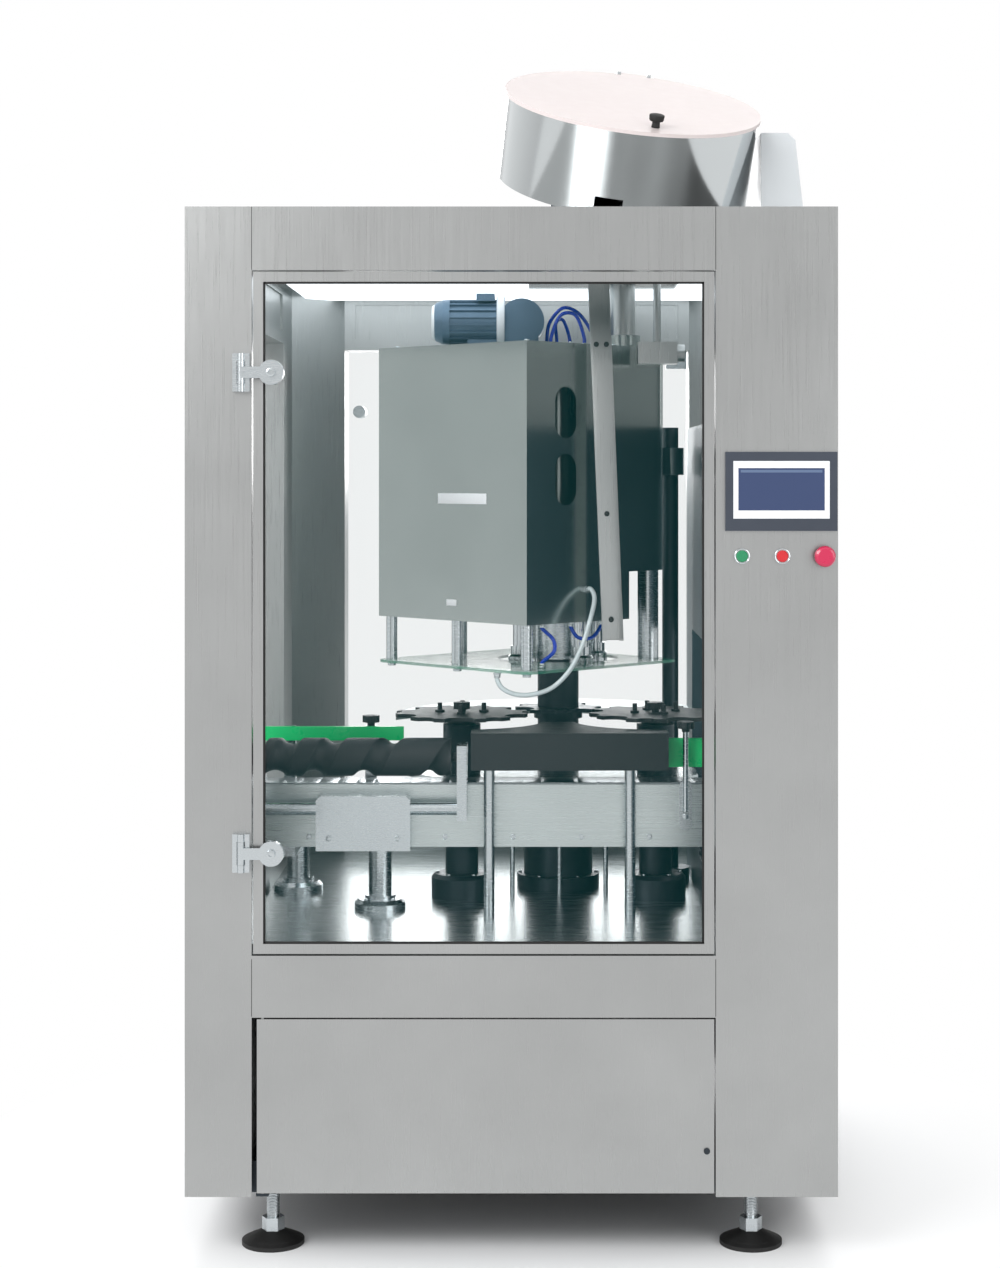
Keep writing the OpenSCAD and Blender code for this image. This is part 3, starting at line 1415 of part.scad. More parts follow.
// Bracket: a foot plate on the roof, two side cheeks and a rear post, all cut off under the tilted bowl
foot_plate_t = 8;
cheek_t = 8;
cheek_x = [108, 372];
gear_case_a = 90;
gear_case_share = 0.75;
bracket_lap = 30;
bracket_front = 130;
bracket_rear = 240;
cheek_front = 110;
cheek_rear = 220;
rib_front = 100;
rib_rear = 60;
module sorter_bracket() color("silver") difference() {
    union() {
        block(cheek_x[0] - bracket_lap, cheek_x[1] + bracket_lap, y_front + bowl_dep - bracket_front,
            y_front + bowl_dep + bracket_rear, cab_top, cab_top + foot_plate_t);
        for (x = cheek_x) block(x, x + cheek_t, y_front + bowl_dep - cheek_front, y_front + bowl_dep + cheek_rear,
            cab_top + foot_plate_t, bowl_z);
        block(cheek_x[0] - bracket_lap, cheek_x[0], y_front + bowl_dep - rib_front,
            y_front + bowl_dep - rib_rear, cab_top + foot_plate_t, bowl_z);
        at_bowl() translate([-gear_case_a / 2, -gear_case_a / 2, -bowl_h - lid_t - gear_case_a * gear_case_share])
            difference() {
                cube([gear_case_a, gear_case_a, gear_case_a * gear_case_share]);
                translate([gear_case_a / 2, gear_case_a / 2, gear_case_a * 0.4])
                    cylinder(d = shaft_d + 2 * fit, h = gear_case_a);
            }
    }
    at_bowl() translate([-bowl_d, -bowl_d, -lid_t - bowl_h]) cube([2 * bowl_d, 2 * bowl_d, bowl_d]);
    at_bowl() translate([0, 0, -bowl_h - lid_t - gear_case_a * 0.35]) cylinder(d = shaft_d + 2 * fit, h = gear_case_a);
    block(-x_wall, x_wall, y_front, y_rear, z_ceiling, cab_top);
}

ctl_x0 = 532;
ctl_x1 = 622;
ctl_dep0 = 560;
ctl_dep1 = 800;
ctl_h = 223;
ctl_slope = 16;
ctl_groove = 4;
ctl_groove_n = 5;
ctl_groove_pitch = 11;
module controller_box() color("whitesmoke")
    translate([0, y_front + ctl_dep1, cab_top]) rotate([90, 0, 0]) difference() {
        linear_extrude(ctl_dep1 - ctl_dep0) polygon([[ctl_x0, 0], [ctl_x1, 0], [ctl_x1, ctl_h * 0.3],
            [ctl_x1 - ctl_slope, ctl_h * 0.93], [ctl_x1 - 2 * ctl_slope, ctl_h], [ctl_x0, ctl_h]]);
        for (i = [1:ctl_groove_n]) translate([ctl_x1 - ctl_groove, i * ctl_groove_pitch, -over])
            cube([2 * ctl_groove, ctl_groove, ctl_dep1 - ctl_dep0 + 2 * over]);
    }

// Hoses, with routes chosen by hand

white_route = [[-33, -295, 1094], [-33, -295, 1080], [-22, -298, 1062], [5, -300, 1050], [40, -302, 1050],
    [80, -302, 1064], [115, -300, 1098], [140, -296, 1145], [158, -284, 1200], [168, -258, 1242],
    [161.9, -235.3, 1262], [149.9, -223.3, 1262]];
blue_routes = [
    [[60, -255, 1194], [60, -255, 1182], [82, -262, 1160], [84, -264, 1135], [60, -255, 1112], [60, -255, 1100]],
    [[120, -215, 1194], [120, -215, 1182], [135, -205, 1160], [165, -175, 1158], [185, -150, 1182],
        [185, -150, 1194]],
    [[150, -60, 1775], [150, -60, 1800], [132, -58, 1845], [100, -56, 1845], [80, -50, 1800], [80, -50, 1775]],
    [[170, -20, 1775], [170, -20, 1805], [140, -30, 1850], [105, -38, 1862], [76, -30, 1830], [70, -20, 1790],
        [70, -20, 1775]],
    [[120, 20, 1775], [120, 20, 1800], [106, 4, 1838], [90, 0, 1832], [92, 20, 1795], [92, 20, 1775]]];
white_d = 10;
blue_d = 8;
module white_hose() color("whitesmoke") hose(white_route, white_d, 44, 10);
module blue_hoses() color("royalblue") for (r = blue_routes) hose(r, blue_d, 18);

// Timing screw: the radius at each point is what the bottle's round leaves of the cylinder
rings_n = 64;
sides_n = 32;
tail_share = 0.86;
// Turns of the groove from the infeed end to the share t of the length
function turns(t) = screw_len * tail_share / (pitch_out - pitch_in) * ln(pitch_at(t) / pitch_in);
function pitch_at(t) = pitch_in + (pitch_out - pitch_in) * min(t / tail_share, 1);
function groove_off(t, a) = let (f = turns(t) + a / 360) (f - round(f)) * pitch_at(t);
function screw_rad(t, a) = let (
        o = groove_off(t, a) + max(t - tail_share, 0) * screw_len,
        c = bottle_r * bottle_r - o * o)
    min(screw_r, c > 0 ? screw_off - sqrt(c) : screw_r);
module timing_screw() color("#23272b") translate([screw_x, y_screw, screw_z]) {
    pts = [for (i = [0:rings_n], k = [0:sides_n - 1]) let (t = i / rings_n, a = k * 360 / sides_n,
        r = screw_rad(t, a)) [t * screw_len, r * cos(a), r * sin(a)]];
    polyhedron(pts, skin(rings_n, sides_n));
    for (x = [-journal, screw_len]) rod_x(screw_shaft_d, x, x + journal, 0, 0);
}

base_frame();
table_plate();
corner_columns();
control_column();
front_beams();
roof();
lower_panels();
side_windows();
partition_panel();
foot_screws();
foot_pads();
door_hinge_plates();
screen_bezel();
screen_panel();
button_collars();
conveyor_frame();
conveyor_chain();
table_legs();
rail_brackets();
guide_rails();
rail_knobs();
transfer_plate();
outer_guide();
center_guide();
star_pedestals();
drive_motor();
ceiling_column();
guide_column();
sorter_bracket();
sorter_bowl();
controller_box();
cap_chute();
door_frame();
door_glass();
door_clamps();
lower_door();
lower_door_lock();
rear_door();
rear_door_fittings();
start_button();
stop_button();
estop_button();
timing_screw();
drive_sprocket();
main_column();
infeed_star();
outfeed_star();
head_housing();
guard_plate();
guard_standoffs();
head_motor();
turret();
spindle_1();
spindle_2();
spindle_3();
spindle_4();
sorter_lid();
sorter_disc();
white_hose();
blue_hoses();
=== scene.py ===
"""Looks of the screw capping machine: finishes, small fittings, light and camera round the CAD frame."""

import json
import logging
import math
from dataclasses import dataclass, field
from enum import Enum, IntEnum

import bpy
from mathutils import Matrix, Vector

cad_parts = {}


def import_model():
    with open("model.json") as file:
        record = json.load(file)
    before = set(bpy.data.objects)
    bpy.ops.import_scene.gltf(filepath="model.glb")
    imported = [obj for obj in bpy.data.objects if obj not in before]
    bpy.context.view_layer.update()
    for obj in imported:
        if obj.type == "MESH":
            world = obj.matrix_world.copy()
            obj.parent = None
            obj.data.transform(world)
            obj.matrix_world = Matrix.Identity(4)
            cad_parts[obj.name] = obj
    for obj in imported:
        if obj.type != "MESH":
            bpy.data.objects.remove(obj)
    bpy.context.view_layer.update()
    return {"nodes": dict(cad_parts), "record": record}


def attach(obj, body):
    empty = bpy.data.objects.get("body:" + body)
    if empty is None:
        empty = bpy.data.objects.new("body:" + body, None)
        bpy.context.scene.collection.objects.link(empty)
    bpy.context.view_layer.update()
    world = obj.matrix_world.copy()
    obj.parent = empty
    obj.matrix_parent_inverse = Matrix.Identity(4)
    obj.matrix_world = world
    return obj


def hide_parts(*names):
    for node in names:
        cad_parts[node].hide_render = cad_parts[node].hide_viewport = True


LOG = logging.getLogger("capping_machine")
MM = 0.001
Point = tuple[float, float, float]


class Grain(Enum):
    """Direction of a metal's brush lines, as the stretch of the noise along X, Y and Z."""

    NONE = (40.0, 40.0, 40.0)
    UPRIGHT = (900.0, 900.0, 7.0)
    LENGTHWISE = (7.0, 900.0, 900.0)
    TURNED = (60.0, 60.0, 900.0)


class Sides(IntEnum):
    """Number of sides of a round piece, by its kind."""

    HEXAGON = 6
    SMALL = 24
    THREAD = 28
    KNOB = 32
    LARGE = 48
    FLANGE = 64


@dataclass(frozen=True)
class Finish:
    """One surface finish.

    Attributes:
        name: Name of the material.
        color: Linear base colour.
        metallic: Share of metal.
        rough: Lowest and highest roughness over the grain.
        grain: Direction of the brush lines.
        bump: Strength of the relief.
        wear: Share of the colour that the cloudy wear takes away.
        alpha: Opacity.
        coat: Clear coat weight.
        glow: Emission strength in the base colour.
    """

    name: str
    color: tuple[float, float, float]
    metallic: float = 0.0
    rough: tuple[float, float] = (0.35, 0.45)
    grain: Grain = Grain.NONE
    bump: float = 0.0
    wear: float = 0.08
    alpha: float = 1.0
    coat: float = 0.0
    glow: float = 0.0


FINISHES: dict[str, Finish] = {finish.name: finish for finish in (
    Finish("steel", (0.46, 0.468, 0.466), 1.0, (0.26, 0.36), Grain.UPRIGHT, 0.015, 0.10),
    Finish("housing", (0.44, 0.48, 0.47), 1.0, (0.16, 0.24), Grain.UPRIGHT, 0.015, 0.10),
    Finish("polished", (0.60, 0.63, 0.64), 1.0, (0.08, 0.14), Grain.TURNED, 0.01, 0.05),
    Finish("frame_steel", (0.60, 0.65, 0.65), 1.0, (0.24, 0.34), Grain.LENGTHWISE, 0.02, 0.08),
    Finish("table", (0.50, 0.55, 0.56), 1.0, (0.20, 0.30), Grain.LENGTHWISE, 0.03, 0.10),
    Finish("bright", (0.60, 0.64, 0.66), 1.0, (0.18, 0.30), Grain.TURNED, 0.03, 0.06),
    Finish("dark_metal", (0.035, 0.045, 0.055), 0.6, (0.30, 0.50), Grain.NONE, 0.04, 0.25),
    Finish("shaft", (0.62, 0.65, 0.67), 1.0, (0.10, 0.20), Grain.TURNED, 0.02, 0.05),
    Finish("black_plastic", (0.010, 0.012, 0.015), 0.0, (0.50, 0.62), Grain.NONE, 0.05, 0.3),
    Finish("foot", (0.008, 0.008, 0.008), 0.0, (0.50, 0.70), Grain.NONE, 0.10, 0.3),
    Finish("glass", (0.01, 0.15, 0.16), 0.0, (0.02, 0.04), Grain.NONE, 0.0, 0.0, 0.04),
    Finish("guard", (0.03, 0.26, 0.16), 0.0, (0.05, 0.10), Grain.NONE, 0.0, 0.05, 0.62, 0.3),
    Finish("panel_dark", (0.055, 0.085, 0.105), 0.5, (0.35, 0.50), Grain.UPRIGHT, 0.03, 0.15),
    Finish("green", (0.012, 0.56, 0.16), 0.0, (0.25, 0.35), Grain.NONE, 0.02, 0.08),
    Finish("pale", (0.60, 0.70, 0.69), 0.0, (0.30, 0.42), Grain.NONE, 0.01, 0.08),
    Finish("bezel", (0.045, 0.055, 0.075), 0.2, (0.30, 0.42), Grain.NONE, 0.02, 0.12),
    Finish("screen", (0.030, 0.048, 0.115), 0.0, (0.10, 0.16), wear=0.05, coat=0.1, glow=0.2),
    Finish("screen_light", (0.09, 0.13, 0.22), 0.0, (0.1, 0.2), wear=0.0, coat=0.1, glow=0.2),
    Finish("inner_bezel", (0.72, 0.74, 0.76), 0.0, (0.35, 0.45), Grain.NONE, 0.01, 0.04),
    Finish("red", (0.55, 0.012, 0.02), 0.0, (0.22, 0.32), wear=0.06, coat=0.5),
    Finish("magenta_red", (0.52, 0.012, 0.07), 0.0, (0.24, 0.34), wear=0.06, coat=0.5),
    Finish("start_green", (0.01, 0.22, 0.09), 0.0, (0.22, 0.32), wear=0.06, coat=0.5),
    Finish("blue_motor", (0.11, 0.17, 0.24), 0.4, (0.35, 0.50), Grain.NONE, 0.05, 0.2),
    Finish("lid", (0.74, 0.66, 0.65), 0.0, (0.30, 0.40), bump=0.01, wear=0.05, coat=0.2),
    Finish("white", (0.76, 0.78, 0.80), 0.0, (0.40, 0.50), Grain.NONE, 0.02, 0.05),
    Finish("hose_clear", (0.62, 0.70, 0.72), 0.0, (0.15, 0.25), wear=0.05, alpha=0.85, coat=0.5),
    Finish("hose_blue", (0.010, 0.05, 0.60), 0.0, (0.20, 0.30), wear=0.05, coat=0.4),
    Finish("chain", (0.50, 0.54, 0.56), 1.0, (0.22, 0.34), Grain.LENGTHWISE, 0.04, 0.12),
    Finish("lamp", (0.90, 0.96, 1.0), 0.0, (0.4, 0.5), wear=0.0, glow=1.6),
    Finish("box_grey", (0.56, 0.59, 0.61), 0.0, (0.35, 0.45), Grain.NONE, 0.02, 0.06),
)}


class FinishShop:
    """Makes the materials; the brush and wear patterns are two node groups that every material shares.

    Attributes:
        spread: Part of the noise's range that a pattern stretches to 0 to 1.
        cloud_scale: Scale of the wear along X, Y and Z.
        relief: Depth of the relief in metres.
    """

    spread: tuple[float, float] = (0.3, 0.7)
    cloud_scale: Point = (30.0, 30.0, 30.0)
    relief: float = 0.0005

    def __init__(self) -> None:
        """Builds the shared groups."""
        self.brush = self._pattern("brush_lines", 1.0, 4.0, 0.6)
        self.cloud = self._pattern("cloudy_wear", 0.12, 5.0, 0.55)
        self.made: dict[str, bpy.types.Material] = {}

    def _pattern(self, name: str, scale: float, detail: float, rough: float) -> bpy.types.NodeTree:
        """Makes a node group that turns a stretched place into a value from 0 to 1.

        Args:
            name: Name of the group.
            scale: Scale of its noise.
            detail: Detail of its noise.
            rough: Roughness of its noise.

        Returns:
            The node group, with the input Vector and the output Value.
        """
        group = bpy.data.node_groups.new(name, "ShaderNodeTree")
        group.interface.new_socket("Vector", in_out="INPUT", socket_type="NodeSocketVector")
        group.interface.new_socket("Value", in_out="OUTPUT", socket_type="NodeSocketFloat")
        nodes, links = group.nodes, group.links
        source, out = nodes.new("NodeGroupInput"), nodes.new("NodeGroupOutput")
        noise, ranged = nodes.new("ShaderNodeTexNoise"), nodes.new("ShaderNodeMapRange")
        noise.inputs["Scale"].default_value = scale
        noise.inputs["Detail"].default_value = detail
        noise.inputs["Roughness"].default_value = rough
        ranged.inputs["From Min"].default_value, ranged.inputs["From Max"].default_value = self.spread
        links.new(source.outputs["Vector"], noise.inputs["Vector"])
        links.new(noise.outputs["Fac"], ranged.inputs["Value"])
        links.new(ranged.outputs["Result"], out.inputs["Value"])
        return group

    def _value(self, tree: bpy.types.NodeTree, place: bpy.types.NodeSocket, group: bpy.types.NodeTree,
               stretch: Point) -> bpy.types.NodeSocket:
        """Adds a shared pattern to a material.

        Args:
            tree: The material's node tree.
            place: Socket that holds the place on the object.
            group: The shared pattern.
            stretch: Scale of the place along X, Y and Z.

        Returns:
            The pattern's value socket.
        """
        mapping = tree.nodes.new("ShaderNodeMapping")
        mapping.inputs["Scale"].default_value = stretch
        node = tree.nodes.new("ShaderNodeGroup")
        node.node_tree = group
        tree.links.new(place, mapping.inputs["Vector"])
        tree.links.new(mapping.outputs["Vector"], node.inputs["Vector"])
        return node.outputs["Value"]

    def get(self, key: str) -> bpy.types.Material:
        """Gives the material of a finish, made once.

        Args:
            key: Name of the finish in FINISHES.

        Returns:
            The material.
        """
        if key in self.made:
            return self.made[key]
        finish = FINISHES[key]
        material = bpy.data.materials.new(finish.name)
        material.use_nodes = True
        tree = material.node_tree
        shader = tree.nodes["Principled BSDF"]
        place = tree.nodes.new("ShaderNodeTexCoord").outputs["Object"]
        lines = self._value(tree, place, self.brush, finish.grain.value)
        cloud = self._value(tree, place, self.cloud, self.cloud_scale)
        rough = tree.nodes.new("ShaderNodeMapRange")
        rough.inputs["To Min"].default_value, rough.inputs["To Max"].default_value = finish.rough
        tree.links.new(lines, rough.inputs["Value"])
        tree.links.new(rough.outputs["Result"], shader.inputs["Roughness"])
        mix = tree.nodes.new("ShaderNodeMix")
        mix.data_type = "RGBA"
        mix.inputs["A"].default_value = (*finish.color, 1.0)
        mix.inputs["B"].default_value = (*(c * (1.0 - finish.wear) for c in finish.color), 1.0)
        tree.links.new(cloud, mix.inputs["Factor"])
        tree.links.new(mix.outputs["Result"], shader.inputs["Base Color"])
        if finish.bump:
            bump = tree.nodes.new("ShaderNodeBump")
            bump.inputs["Strength"].default_value = finish.bump
            bump.inputs["Distance"].default_value = self.relief
            tree.links.new(lines, bump.inputs["Height"])
            tree.links.new(bump.outputs["Normal"], shader.inputs["Normal"])
        shader.inputs["Metallic"].default_value = finish.metallic
        shader.inputs["Alpha"].default_value = finish.alpha
        shader.inputs["Coat Weight"].default_value = finish.coat
        if finish.glow:
            shader.inputs["Emission Color"].default_value = (*finish.color, 1.0)
            shader.inputs["Emission Strength"].default_value = finish.glow
        self.made[key] = material
        return material


class Shaper:
    """Models small pieces with Blender's own operators and joins them into one object per group.

    Attributes:
        soft_angle: Angle in degrees over which an edge is softened.
        smooth_angle: Angle in degrees under which two faces are shaded as one.
        socket: Height, soft rim, wall and socket depth of a cap screw, over its radius.
        hexagon: Washer's thickness and radius, top and soft rim of a hexagon head, over its radius.
        route_steps: Steps between two points of a tube's route.
    """

    soft_angle: float = 50.0
    smooth_angle: float = 35.0
    socket: tuple[float, float, float, float] = (0.9, 0.12, 0.42, 0.5)
    hexagon: tuple[float, float, float, float] = (0.2, 1.25, 0.85, 0.06)
    route_steps: int = 7

    def __init__(self, shop: FinishShop) -> None:
        """Keeps the material shop.

        Args:
            shop: Source of the materials.
        """
        self.shop = shop
        self.parts: list[bpy.types.Object] = []

    @staticmethod
    def _apply() -> bpy.types.Object:
        """Puts the active object's place into its mesh.

        Returns:
            The active object, at the origin.
        """
        bpy.ops.object.transform_apply(location=True, rotation=True, scale=True)
        return bpy.context.active_object

    def _soften(self, width: float) -> None:
        """Bevels the active object's sharp edges.

        Args:
            width: Width of the bevel.
        """
        bpy.ops.object.mode_set(mode="EDIT")
        bpy.ops.mesh.select_mode(type="EDGE")
        bpy.ops.mesh.select_all(action="DESELECT")
        bpy.ops.mesh.edges_select_sharp(sharpness=math.radians(self.soft_angle))
        bpy.ops.mesh.bevel(offset=width, segments=2, affect="EDGES")
        bpy.ops.object.mode_set(mode="OBJECT")

    def box(self, low: Point, high: Point, bevel: float = 0.0) -> bpy.types.Object:
        """Adds a box between two corners.

        Args:
            low: Lowest corner in metres.
            high: Highest corner in metres.
            bevel: Width of the softened edges.

        Returns:
            The new object.
        """
        bpy.ops.object.select_all(action="DESELECT")
        centre = [(a + b) / 2 for a, b in zip(low, high)]
        bpy.ops.mesh.primitive_cube_add(size=1.0, location=centre)
        bpy.context.active_object.scale = [b - a for a, b in zip(low, high)]
        piece = self._apply()
        if bevel:
            self._soften(bevel)
        self.parts.append(piece)
        return piece

    def rod(self, start: Point, end: Point, radius: float, sides: Sides, bevel: float = 0.0,
            tip: float | None = None) -> bpy.types.Object:
        """Adds a cylinder or cone between two points.

        Args:
            start: First end in metres.
            end: Second end in metres.
            radius: Radius at the first end.
            sides: Number of sides.
            bevel: Width of the softened rims.
            tip: Radius at the second end, if it differs.

        Returns:
            The new object.
        """
        bpy.ops.object.select_all(action="DESELECT")
        a, b = Vector(start), Vector(end)
        turn = Vector((0, 0, 1)).rotation_difference(b - a).to_euler()
        tip = radius if tip is None else tip
        bpy.ops.mesh.primitive_cone_add(vertices=sides, radius1=radius, radius2=tip, depth=(b - a).length,
                                        location=(a + b) / 2, rotation=turn)
        piece = self._apply()
        if bevel:
            self._soften(bevel)
        self.parts.append(piece)
        return piece

    def ring(self, centre: Point, axis: Point, radius: float, thick: float, sides: Sides) -> bpy.types.Object:
        """Adds a torus.

        Args:
            centre: Its centre in metres.
            axis: Its axis.
            radius: Radius of the centre line.
            thick: Radius of the section.
            sides: Number of steps round the axis.

        Returns:
            The new object.
        """
        bpy.ops.object.select_all(action="DESELECT")
        turn = Vector((0, 0, 1)).rotation_difference(Vector(axis)).to_euler()
        bpy.ops.mesh.primitive_torus_add(location=centre, rotation=turn, major_radius=radius,
                                         minor_radius=thick, major_segments=sides, minor_segments=8)
        self.parts.append(self._apply())
        return self.parts[-1]

    def socket_screw(self, base: Point, axis: Point, radius: float) -> None:
        """Adds a cap screw: a round head with a sunk socket.

        Args:
            base: Centre of the seat in metres.
            axis: Direction that the head stands out in.
            radius: Radius of the head.
        """
        a, n = Vector(base), Vector(axis).normalized()
        height, rim, wall, depth = (share * radius for share in self.socket)
        head = self.rod(a, a + n * height, radius, Sides.SMALL, rim)
        bpy.ops.object.mode_set(mode="EDIT")
        bpy.ops.mesh.select_mode(type="FACE")
        bpy.ops.mesh.select_all(action="DESELECT")
        bpy.ops.object.mode_set(mode="OBJECT")
        top = max(head.data.polygons, key=lambda f: (f.center - a).dot(n) + f.area)
        for face in head.data.polygons:
            face.select = face.index == top.index
        bpy.ops.object.mode_set(mode="EDIT")
        bpy.ops.mesh.inset(thickness=wall)
        bpy.ops.mesh.extrude_region_move(TRANSFORM_OT_translate={"value": -n * depth})
        bpy.ops.object.mode_set(mode="OBJECT")

    def hex_head(self, base: Point, axis: Point, radius: float) -> None:
        """Adds a hexagon head on its washer.

        Args:
            base: Centre of the seat in metres.
            axis: Direction that the head stands out in.
            radius: Radius over the corners.
        """
        a, n = Vector(base), Vector(axis).normalized()
        washer, seat, top, rim = (share * radius for share in self.hexagon)
        self.rod(a, a + n * washer, seat, Sides.SMALL)
        self.rod(a + n * washer, a + n * top, radius, Sides.HEXAGON, rim)

    def joined(self, name: str, finish: str, body: str) -> bpy.types.Object:
        """Joins the pieces made since the last call into one object that rides on a body.

        Args:
            name: Name of the object.
            finish: Name of its finish.
            body: Body that it moves with.

        Returns:
            The joined object.
        """
        bpy.ops.object.select_all(action="DESELECT")
        for part in self.parts:
            part.select_set(True)
        bpy.context.view_layer.objects.active = self.parts[0]
        if len(self.parts) > 1:
            bpy.ops.object.join()
        whole = bpy.context.active_object
        bpy.ops.object.shade_smooth_by_angle(angle=math.radians(self.smooth_angle))
        whole.name = name
        whole.data.materials.clear()
        whole.data.materials.append(self.shop.get(finish))
        self.parts = []
        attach(whole, body)
        return whole

    def tube(self, route: list[Point], radius: float) -> bpy.types.Object:
        """Adds a round tube along a smooth route.

        Args:
            route: Points of the route in metres.
            radius: Radius of the tube.

        Returns:
            The new object.
        """
        points = smooth_route(route, self.route_steps)
        curve = bpy.data.curves.new("route", "CURVE")
        curve.dimensions = "3D"
        curve.bevel_depth = radius
        curve.bevel_resolution = 4
        curve.use_fill_caps = True
        spline = curve.splines.new("POLY")
        spline.points.add(len(points) - 1)
        for target, source in zip(spline.points, points):
            target.co = (*source, 1.0)
        carrier = bpy.data.objects.new("route", curve)
        bpy.context.scene.collection.objects.link(carrier)
        bpy.ops.object.select_all(action="DESELECT")
        carrier.select_set(True)
        bpy.context.view_layer.objects.active = carrier
        bpy.ops.object.convert(target="MESH")
        self.parts.append(bpy.context.active_object)
        return self.parts[-1]


def metres(route: list[Point]) -> list[Point]:
    """Turns a route in millimetres into metres.

    Args:
        route: The points in millimetres.

    Returns:
        The points in metres.
    """
    return [tuple(c * MM for c in point) for point in route]


def smooth_route(route: list[Point], steps: int) -> list[Vector]:
    """Rounds a route through all its points.

    Args:
        route: The points.
        steps: Steps between two points.

    Returns:
        The points of the smooth route.
    """
    p = [Vector(q) for q in route]
    out: list[Vector] = []
    for i in range(len(p) - 1):
        a, b, c, d = p[max(i - 1, 0)], p[i], p[i + 1], p[min(i + 2, len(p) - 1)]
        for k in range(steps):
            t = k / steps
            out.append(b + (c - a) * t / 2 + (2 * a - 5 * b + 4 * c - d) * t * t / 2
                       + (3 * b - a - 3 * c + d) * t ** 3 / 2)
    return out + [p[-1]]


@dataclass
class Cabinet:
    """Fittings of the enclosure: door seal, screws, ceiling light, seams and the feet's threads.

    Attributes:
        front: Y of the front face.
        seal: Left, right, lower and upper edge of the door's seal.
        seal_depth: Front and back of the seal behind the front face.
        seal_width: Width of the seal.
        seal_rim: Width of the seal's soft edges.
        clamp_z: Heights of the glass clamps.
        clamp_x: Sideways place of the clamps' screws.
        clamp_screw: How far a clamp stands before the front face, and the radius of its screw.
        hinge_x: Sideways place of the hinge plates' screws.
        hinge_up: Distance of a hinge screw from the middle of its plate.
        hinge_screw: Front and back of a hinge screw before the front face, and its radius.
        lamps: Corners of the ceiling light's panels, seen from above.
        lamp_z: Lower and upper side of the ceiling light.
        lamp_rim: Width of its soft edges.
        seam_x: Sideways places of the sheet seams.
        seam_z: Lower and upper end of the seams on the lower beam and the header.
        seam_half: Half of a seam's width.
        seam_depth: How far a seam stands out of the front face and reaches in.
        foot_x: Distance of a foot from the middle.
        foot_y: Y of the front and rear feet.
        thread: Lowest height, pitch, radius and thickness of a foot's thread.
        thread_turns: Turns of that thread.
        rib: Lowest height, pitch, largest radius and step inwards of the ribs on a foot pad.
        rib_count: Number of ribs on a pad.
        rib_thick: Radius of a rib's section.
    """

    front: float = -0.625
    seal: tuple[float, float, float, float] = (-0.475, 0.369, 0.604, 1.871)
    seal_depth: tuple[float, float] = (0.0035, 0.0059)
    seal_width: float = 0.004
    seal_rim: float = 0.0008
    clamp_z: tuple[float, float] = (0.779, 1.697)
    clamp_x: float = -0.458
    clamp_screw: tuple[float, float] = (0.019, 0.0085)
    hinge_x: float = -0.505
    hinge_up: float = 0.028
    hinge_screw: tuple[float, float, float] = (0.0122, 0.0118, 0.0035)
    lamps: tuple[tuple[float, float, float, float], ...] = (
        (-0.50, -0.455, 0.030, 0.20), (0.36, -0.455, 0.50, 0.20), (-0.50, 0.205, 0.50, 0.49))
    lamp_z: tuple[float, float] = (1.917, 1.9215)
    lamp_rim: float = 0.001
    seam_x: tuple[float, float] = (-0.497, 0.391)
    seam_z: tuple[tuple[float, float], ...] = ((1.894, 2.0146), (0.465, 0.575))
    seam_half: float = 0.0006
    seam_depth: float = 0.0002
    foot_x: float = 0.467
    foot_y: tuple[float, float] = (-0.525, 0.525)
    thread: tuple[float, float, float, float] = (0.0565, 0.003, 0.0121, 0.0009)
    thread_turns: int = 20
    rib: tuple[float, float, float, float] = (0.0125, 0.0042, 0.0500, 0.0095)
    rib_count: int = 3
    rib_thick: float = 0.0009

    def build(self, shaper: Shaper) -> None:
        """Models the fittings.

        Args:
            shaper: The modelling helper.
        """
        self._seal(shaper)
        out, radius = self.clamp_screw
        for z in self.clamp_z:
            shaper.socket_screw((self.clamp_x, self.front - out, z), (0, -1, 0), radius)
        shaper.joined("clamp_screws", "bright", "front_door")
        x, radius = self.hinge_x, self.hinge_screw[2]
        y0, y1 = self.front - self.hinge_screw[0], self.front - self.hinge_screw[1]
        for z in self.clamp_z:
            for up in (z - self.hinge_up, z + self.hinge_up):
                shaper.rod((x, y0, up), (x, y1, up), radius, Sides.SMALL)
        shaper.joined("hinge_screws", "shaft", "cabinet")
        for x0, y0, x1, y1 in self.lamps:
            shaper.box((x0, y0, self.lamp_z[0]), (x1, y1, self.lamp_z[1]), self.lamp_rim)
        shaper.joined("ceiling_lamp", "lamp", "cabinet")
        for x in self.seam_x:
            for low, high in self.seam_z:
                shaper.box((x - self.seam_half, self.front - self.seam_depth, low),
                           (x + self.seam_half, self.front + self.seam_depth, high))
        shaper.joined("front_seams", "foot", "cabinet")
        self._feet(shaper)

    def _seal(self, shaper: Shaper) -> None:
        """Models the seal round the door's pane.

        Args:
            shaper: The modelling helper.
        """
        x0, x1, z0, z1 = self.seal
        y0, y1 = (self.front + depth for depth in self.seal_depth)
        w = self.seal_width
        for low, high in (((x0, y0, z0), (x0 + w, y1, z1)), ((x1 - w, y0, z0), (x1, y1, z1)),
                          ((x0, y0, z0), (x1, y1, z0 + w)), ((x0, y0, z1 - w), (x1, y1, z1))):
            shaper.box(low, high, self.seal_rim)
        shaper.joined("door_seal", "foot", "front_door")

